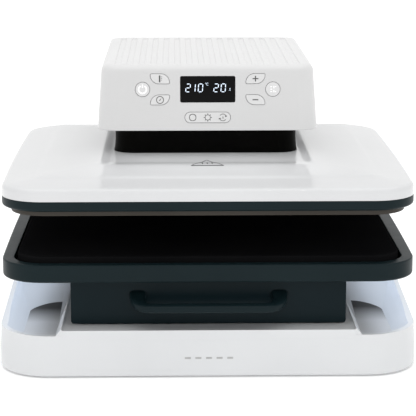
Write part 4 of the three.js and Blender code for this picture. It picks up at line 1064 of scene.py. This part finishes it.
def base_hollows():
    """Spaces inside the base, open below, and its openings for inlet, switch and frame."""
    x0, x1, y0, y1, z0, z1 = span("base_shell")
    w, t, deck_y = x1 - x0, WALL, y1 - DECK_D
    mouth = [
        ring(z0 + up, w - 2 * i, y0 + i, y1 - i, BASE_R - i, BASE_CORNER)
        for up, i in ((-3, 8), (1.5, 7))
    ]
    hollows = [
        loft("under", mouth),
        box("platform", -RIDGE_X + t, RIDGE_X - t, y0 + 9, y1 - t, 0, LEDGE_Z - t),
        box("deck", -RIDGE_X + t, RIDGE_X - t, deck_y + t, y1 - t, 0, z1 - t),
    ]
    for side in (-1, 1):
        near, far = sorted((side * (RIDGE_X + t), side * (w / 2 - BASE_R / 2)))
        hollows.append(box("wing", near, far, y0 + 22, y1 - 22, 0, POCKET_FLOOR_Z - t))
        hollows.append(box("rear", near, far, deck_y + t, y1 - 22, 0, z1 - DECK_R - t))
    for name, wide, high in (("power_inlet", 28.6, 20.6), ("switch_frame", 15.6, 21.6)):
        a0, a1, _, _, c0, c1 = span(name)
        left, low = (a0 + a1 - wide) / 2, (c0 + c1 - high) / 2
        hollows.append(box("entry", left, left + wide, y1 - 10, y1 + 5, low, low + high))
    half = (COLUMN[1] - COLUMN[0]) / 2 - 14
    hollows.append(box("pass", -half, half, deck_y + t, y1 - t - 4, z1 - 10, z1 + 10))
    return hollows


def build_base():
    """Base shell: platform, sloping ridges, two hollow wings and the rear deck."""
    x0, x1, y0, y1, _, z1 = span("base_shell")
    w, t = x1 - x0, POCKET_WALL
    base = combine(base_block(), [side_view()], "INTERSECT")
    for side in (-1, 1):
        within = [
            ring(z, w - 2 * t, y0 + t, y1 - t, BASE_R - t, BASE_CORNER) for z in (0, 200)
        ]
        combine(base, [combine(pocket(y0, side), [loft("within", within)], "INTERSECT")])
    combine(base, [box("bay", -RIDGE_X, RIDGE_X, y0 - 1, y1 - DECK_D, LEDGE_Z, z1 + 20)])
    half = RIDGE_X + 0.5
    combine(base, [box("fill", -half, half, y0 + 0.3, y0 + 120, LIP_Z - 4, LEDGE_Z)], "UNION")
    combine(base, [ridge(y0, side, LIP_Z, LEDGE_Z) for side in (-1, 1)], "UNION")
    combine(base, base_hollows())
    base.data.materials.clear()
    for m in (BASE_WHITE, WING_FLOOR_PAINTED_SHADE):
        base.data.materials.append(m)
    # The flat pocket floors get the finish with painted shade, darker towards the back.
    for p in base.data.polygons:
        gets_painted_shade = abs(p.center.z / MM - POCKET_FLOOR_Z) < 0.2 and p.normal.z > 0.9
        p.material_index = 1 if gets_painted_shade else 0
    smooth(base, 30, 0.7)
    place(base, "base", "white_plastic", ("base_shell",))
    build_front_mark(y0)


def build_front_mark(y0):
    """Generic printed mark in the middle of the front: five plain bars."""
    pitch, bar, mark_z = 10.5, 6, 20.6
    lines = [
        ([(pitch * k - bar / 2, 0), (pitch * k + bar / 2, 0)], 2.0, False) for k in range(-2, 3)
    ]

    def on_front(p, q, n):
        return (p, y0 - n, mark_z + q)

    place(printed("front_mark", lines, on_front, MARK_GREY, -0.2, 0.05), "base", "white_plastic")


def ridge(y0, side, lip, ledge):
    """Strip that slopes from the platform's edge down to the pocket's inner wall."""
    outer = RIDGE_X + RIDGE_T
    section = (
        (RIDGE_X, lip - 4), (outer, lip - 4), (outer, lip + RIDGE_RISE - 0.4),
        (outer - 0.4, lip + RIDGE_RISE), (RIDGE_X + 1.2, ledge + RIDGE_RISE - 0.2),
        (RIDGE_X + 0.8, ledge + RIDGE_RISE), (RIDGE_X, ledge + RIDGE_RISE),
    )
    return loft("ridge", [[(side * x, y, z) for x, z in section] for y in (y0 + 1, y0 + RIDGE_L)])


def pocket(y0, side):
    """Hollow of one wing: flat floor that ends in an arc, outer side and back leaning outwards."""
    inner = RIDGE_X + RIDGE_T
    front = y0 + 7
    steps = (
        (0, 0, 0), (0.5, 0.6, 1.6), (1.2, 1.7, 5), (2, 3, 10), (4, 5.6, 22), (6, 8, 34),
        (8.5, 11.2, 50), (11, 14, 66), (16, 16.4, 98), (22, 18, 125), (60, 20, 190),
    )
    rings = []
    for up, out, back in steps:
        w = POCKET_OUT_X + out - inner
        y1 = front + POCKET_DEPTH + back
        level = []
        for x, y, z in ring(POCKET_FLOOR_Z + up, w, front, y1, 5, 10, 0.001, 16):
            outer = max(0, x + w / 2) / w
            sweep = POCKET_SWEEP * outer**2.5 * smoothstep(front, y1, y)
            level.append((side * (inner + w / 2 + x), y - sweep, z))
        rings.append(level)
    return loft("pocket", rings)


# ---- Finishes of the CAD nodes that show ------------------------------------------------------
FINISH = {
    "bottom_plate": ZINC, "head_underside": WHITE, "heating_platen": ALUMINIUM,
    "heating_element": STEEL, "insulation_board": CERAMIC, "thermal_cutout": BLACK,
    "temperature_sensor": BRASS, "crosshead_plate": ALUMINIUM, "lead_screw": STEEL,
    "guide_rod_left": STEEL, "guide_rod_right": STEEL, "guide_bush_left": BRASS,
    "guide_bush_right": BRASS, "nut_gear": BRASS, "motor_pinion": STEEL, "gear_motor": STEEL,
    "display_module": BLACK, "control_board": BOARD, "frame_left": ZINC, "frame_right": ZINC,
    "frame_base_plate": ZINC, "frame_back_plate": ZINC, "frame_arm_plate": ZINC,
    "lower_platen": ANODISED, "drawer_chassis": STEEL, "support_block": BLACK,
    "power_board": BOARD, "drawer_switch": BLACK, "power_inlet": BLACK, "switch_frame": BLACK,
    "switch_rocker": BLACK, "rear_cover": WHITE,
}
ROUNDED = {
    "bottom_plate": 0.3, "heating_platen": 0.4, "lower_platen": 0.4, "rear_cover": 0.4,
    "power_inlet": 0.4, "switch_frame": 0.4, "switch_rocker": 0.5, "frame_left": 0.4,
    "frame_right": 0.4, "frame_arm_plate": 0.4, "gear_motor": 0.5, "support_block": 0.5,
}


def finish_nodes():
    for name, o in NODES.items():
        if o.hide_render:
            continue
        if name.startswith("foot"):
            mat = RUBBER
        elif name.startswith("slide"):
            mat = STEEL
        else:
            mat = FINISH[name]
        for s in o.material_slots:
            s.material = mat
        width = 0.8 if name.startswith("foot") else ROUNDED.get(name)
        if width:
            smooth(o, 40, width)


# ---- Floor, light and camera ------------------------------------------------------------------
def build_floor():
    finish = material("pale_floor", grey(0.93), grey(0.95), (0.7, 0.8), 60, 0.0, 2, specular=0.1)
    corners = [(-9000, -5000, 0), (9000, -5000, 0), (9000, 14000, 0), (-9000, 14000, 0)]
    floor = make("floor", corners, [(0, 1, 2, 3)], (finish,))
    glow = floor.material_slots[0].material.node_tree.nodes["Principled BSDF"]
    glow.inputs["Emission Color"].default_value = (1, 1, 1, 1)
    glow.inputs["Emission Strength"].default_value = 0.16


def softbox(name, spot, aim, size, power):
    """Rectangular area light at a spot, turned towards its aim, in metres and watts."""
    light = bpy.data.lights.new(name, "AREA")
    light.shape = "RECTANGLE"
    light.size, light.size_y = size
    light.energy = power
    o = bpy.data.objects.new(name, light)
    o.location = spot
    o.rotation_euler = (Vector(aim) - Vector(spot)).to_track_quat("-Z", "Y").to_euler()
    bpy.context.scene.collection.objects.link(o)
    return o


def reach_only(card, target, shading):
    """Lets a light reach one piece only, shaded by nothing but the other piece."""
    reached = bpy.data.collections.new(card.name + "_reach")
    reached.objects.link(bpy.data.objects[target])
    card.light_linking.receiver_collection = reached
    blockers = bpy.data.collections.new(card.name + "_shade")
    blockers.objects.link(bpy.data.objects[shading])
    card.light_linking.blocker_collection = blockers


def build_lights():
    """White world, two soft lights, and five bounce cards that reach one shell each."""
    world = bpy.data.worlds.new("studio")
    bpy.context.scene.world = world
    world.use_nodes = True
    background = world.node_tree.nodes["Background"]
    background.inputs["Color"].default_value = (1, 1, 1, 1)
    background.inputs["Strength"].default_value = 1.0
    front = FRONT * MM
    softbox("overhead", (0, 0.3, 2.4), (0, 0.3, 0), (3.2, 2.6), 19)
    softbox("strip", (0, -1.0, 2.2), (0, front, 0.19), (2.4, 0.03), 4)
    cards = [
        ("under_head", (0, front + 0.1, 0.234), (0, front + 0.1, 0), (0.2, 0.1), 0.09, "cover_top"),
        ("ahead", (0, front - 1.0, 0.27), (0, front, 0.19), (0.8, 0.2), 2.0, "cover_top"),
    ]
    for name, side in (("left_wing", -1), ("right_wing", 1)):
        spot, aim = (side * 0.139, front + 0.15, 0.09), (side * 0.2, front + 0.15, 0.052)
        cards.append((name, spot, aim, (0.27, 0.03), 0.07, "base_housing"))
    low_spot, low_aim = (0, front - 0.5, -0.12), (0, front, 0.02)
    cards.append(("low_front", low_spot, low_aim, (1.0, 0.2), 0.55, "base_housing"))
    for name, spot, aim, size, power, target in cards:
        card = softbox(name, spot, aim, size, power)
        if name.endswith("wing"):
            card.data.color = (0.74, 0.84, 1)
            card.data.spread = math.radians(80)
        card.visible_camera = False
        card.visible_glossy = False
        reach_only(card, target, "front_mark")


def build_camera():
    """Camera in front and a little above, with a plain view of the colours."""
    scene = bpy.context.scene
    scene.view_settings.view_transform = "Standard"
    scene.view_settings.look = "None"
    camera = bpy.data.cameras.new("camera")
    camera.lens = 143.05
    camera.sensor_width = 36
    camera.clip_start, camera.clip_end = 0.05, 60
    o = bpy.data.objects.new("camera", camera)
    o.location = (-0.032, FRONT * MM - 1.571, 0.5095)
    o.rotation_euler = (math.radians(90 - 12.1), 0, math.radians(-1.13))
    scene.collection.objects.link(o)
    scene.camera = o


build_head()
build_column()
build_keys()
build_display()
build_cover()
build_trim()
build_shroud()
build_tray()
build_pad()
build_drawer_front()
build_handle()
build_base()
finish_nodes()
build_floor()
build_lights()
build_camera()

bpy.context.view_layer.update()
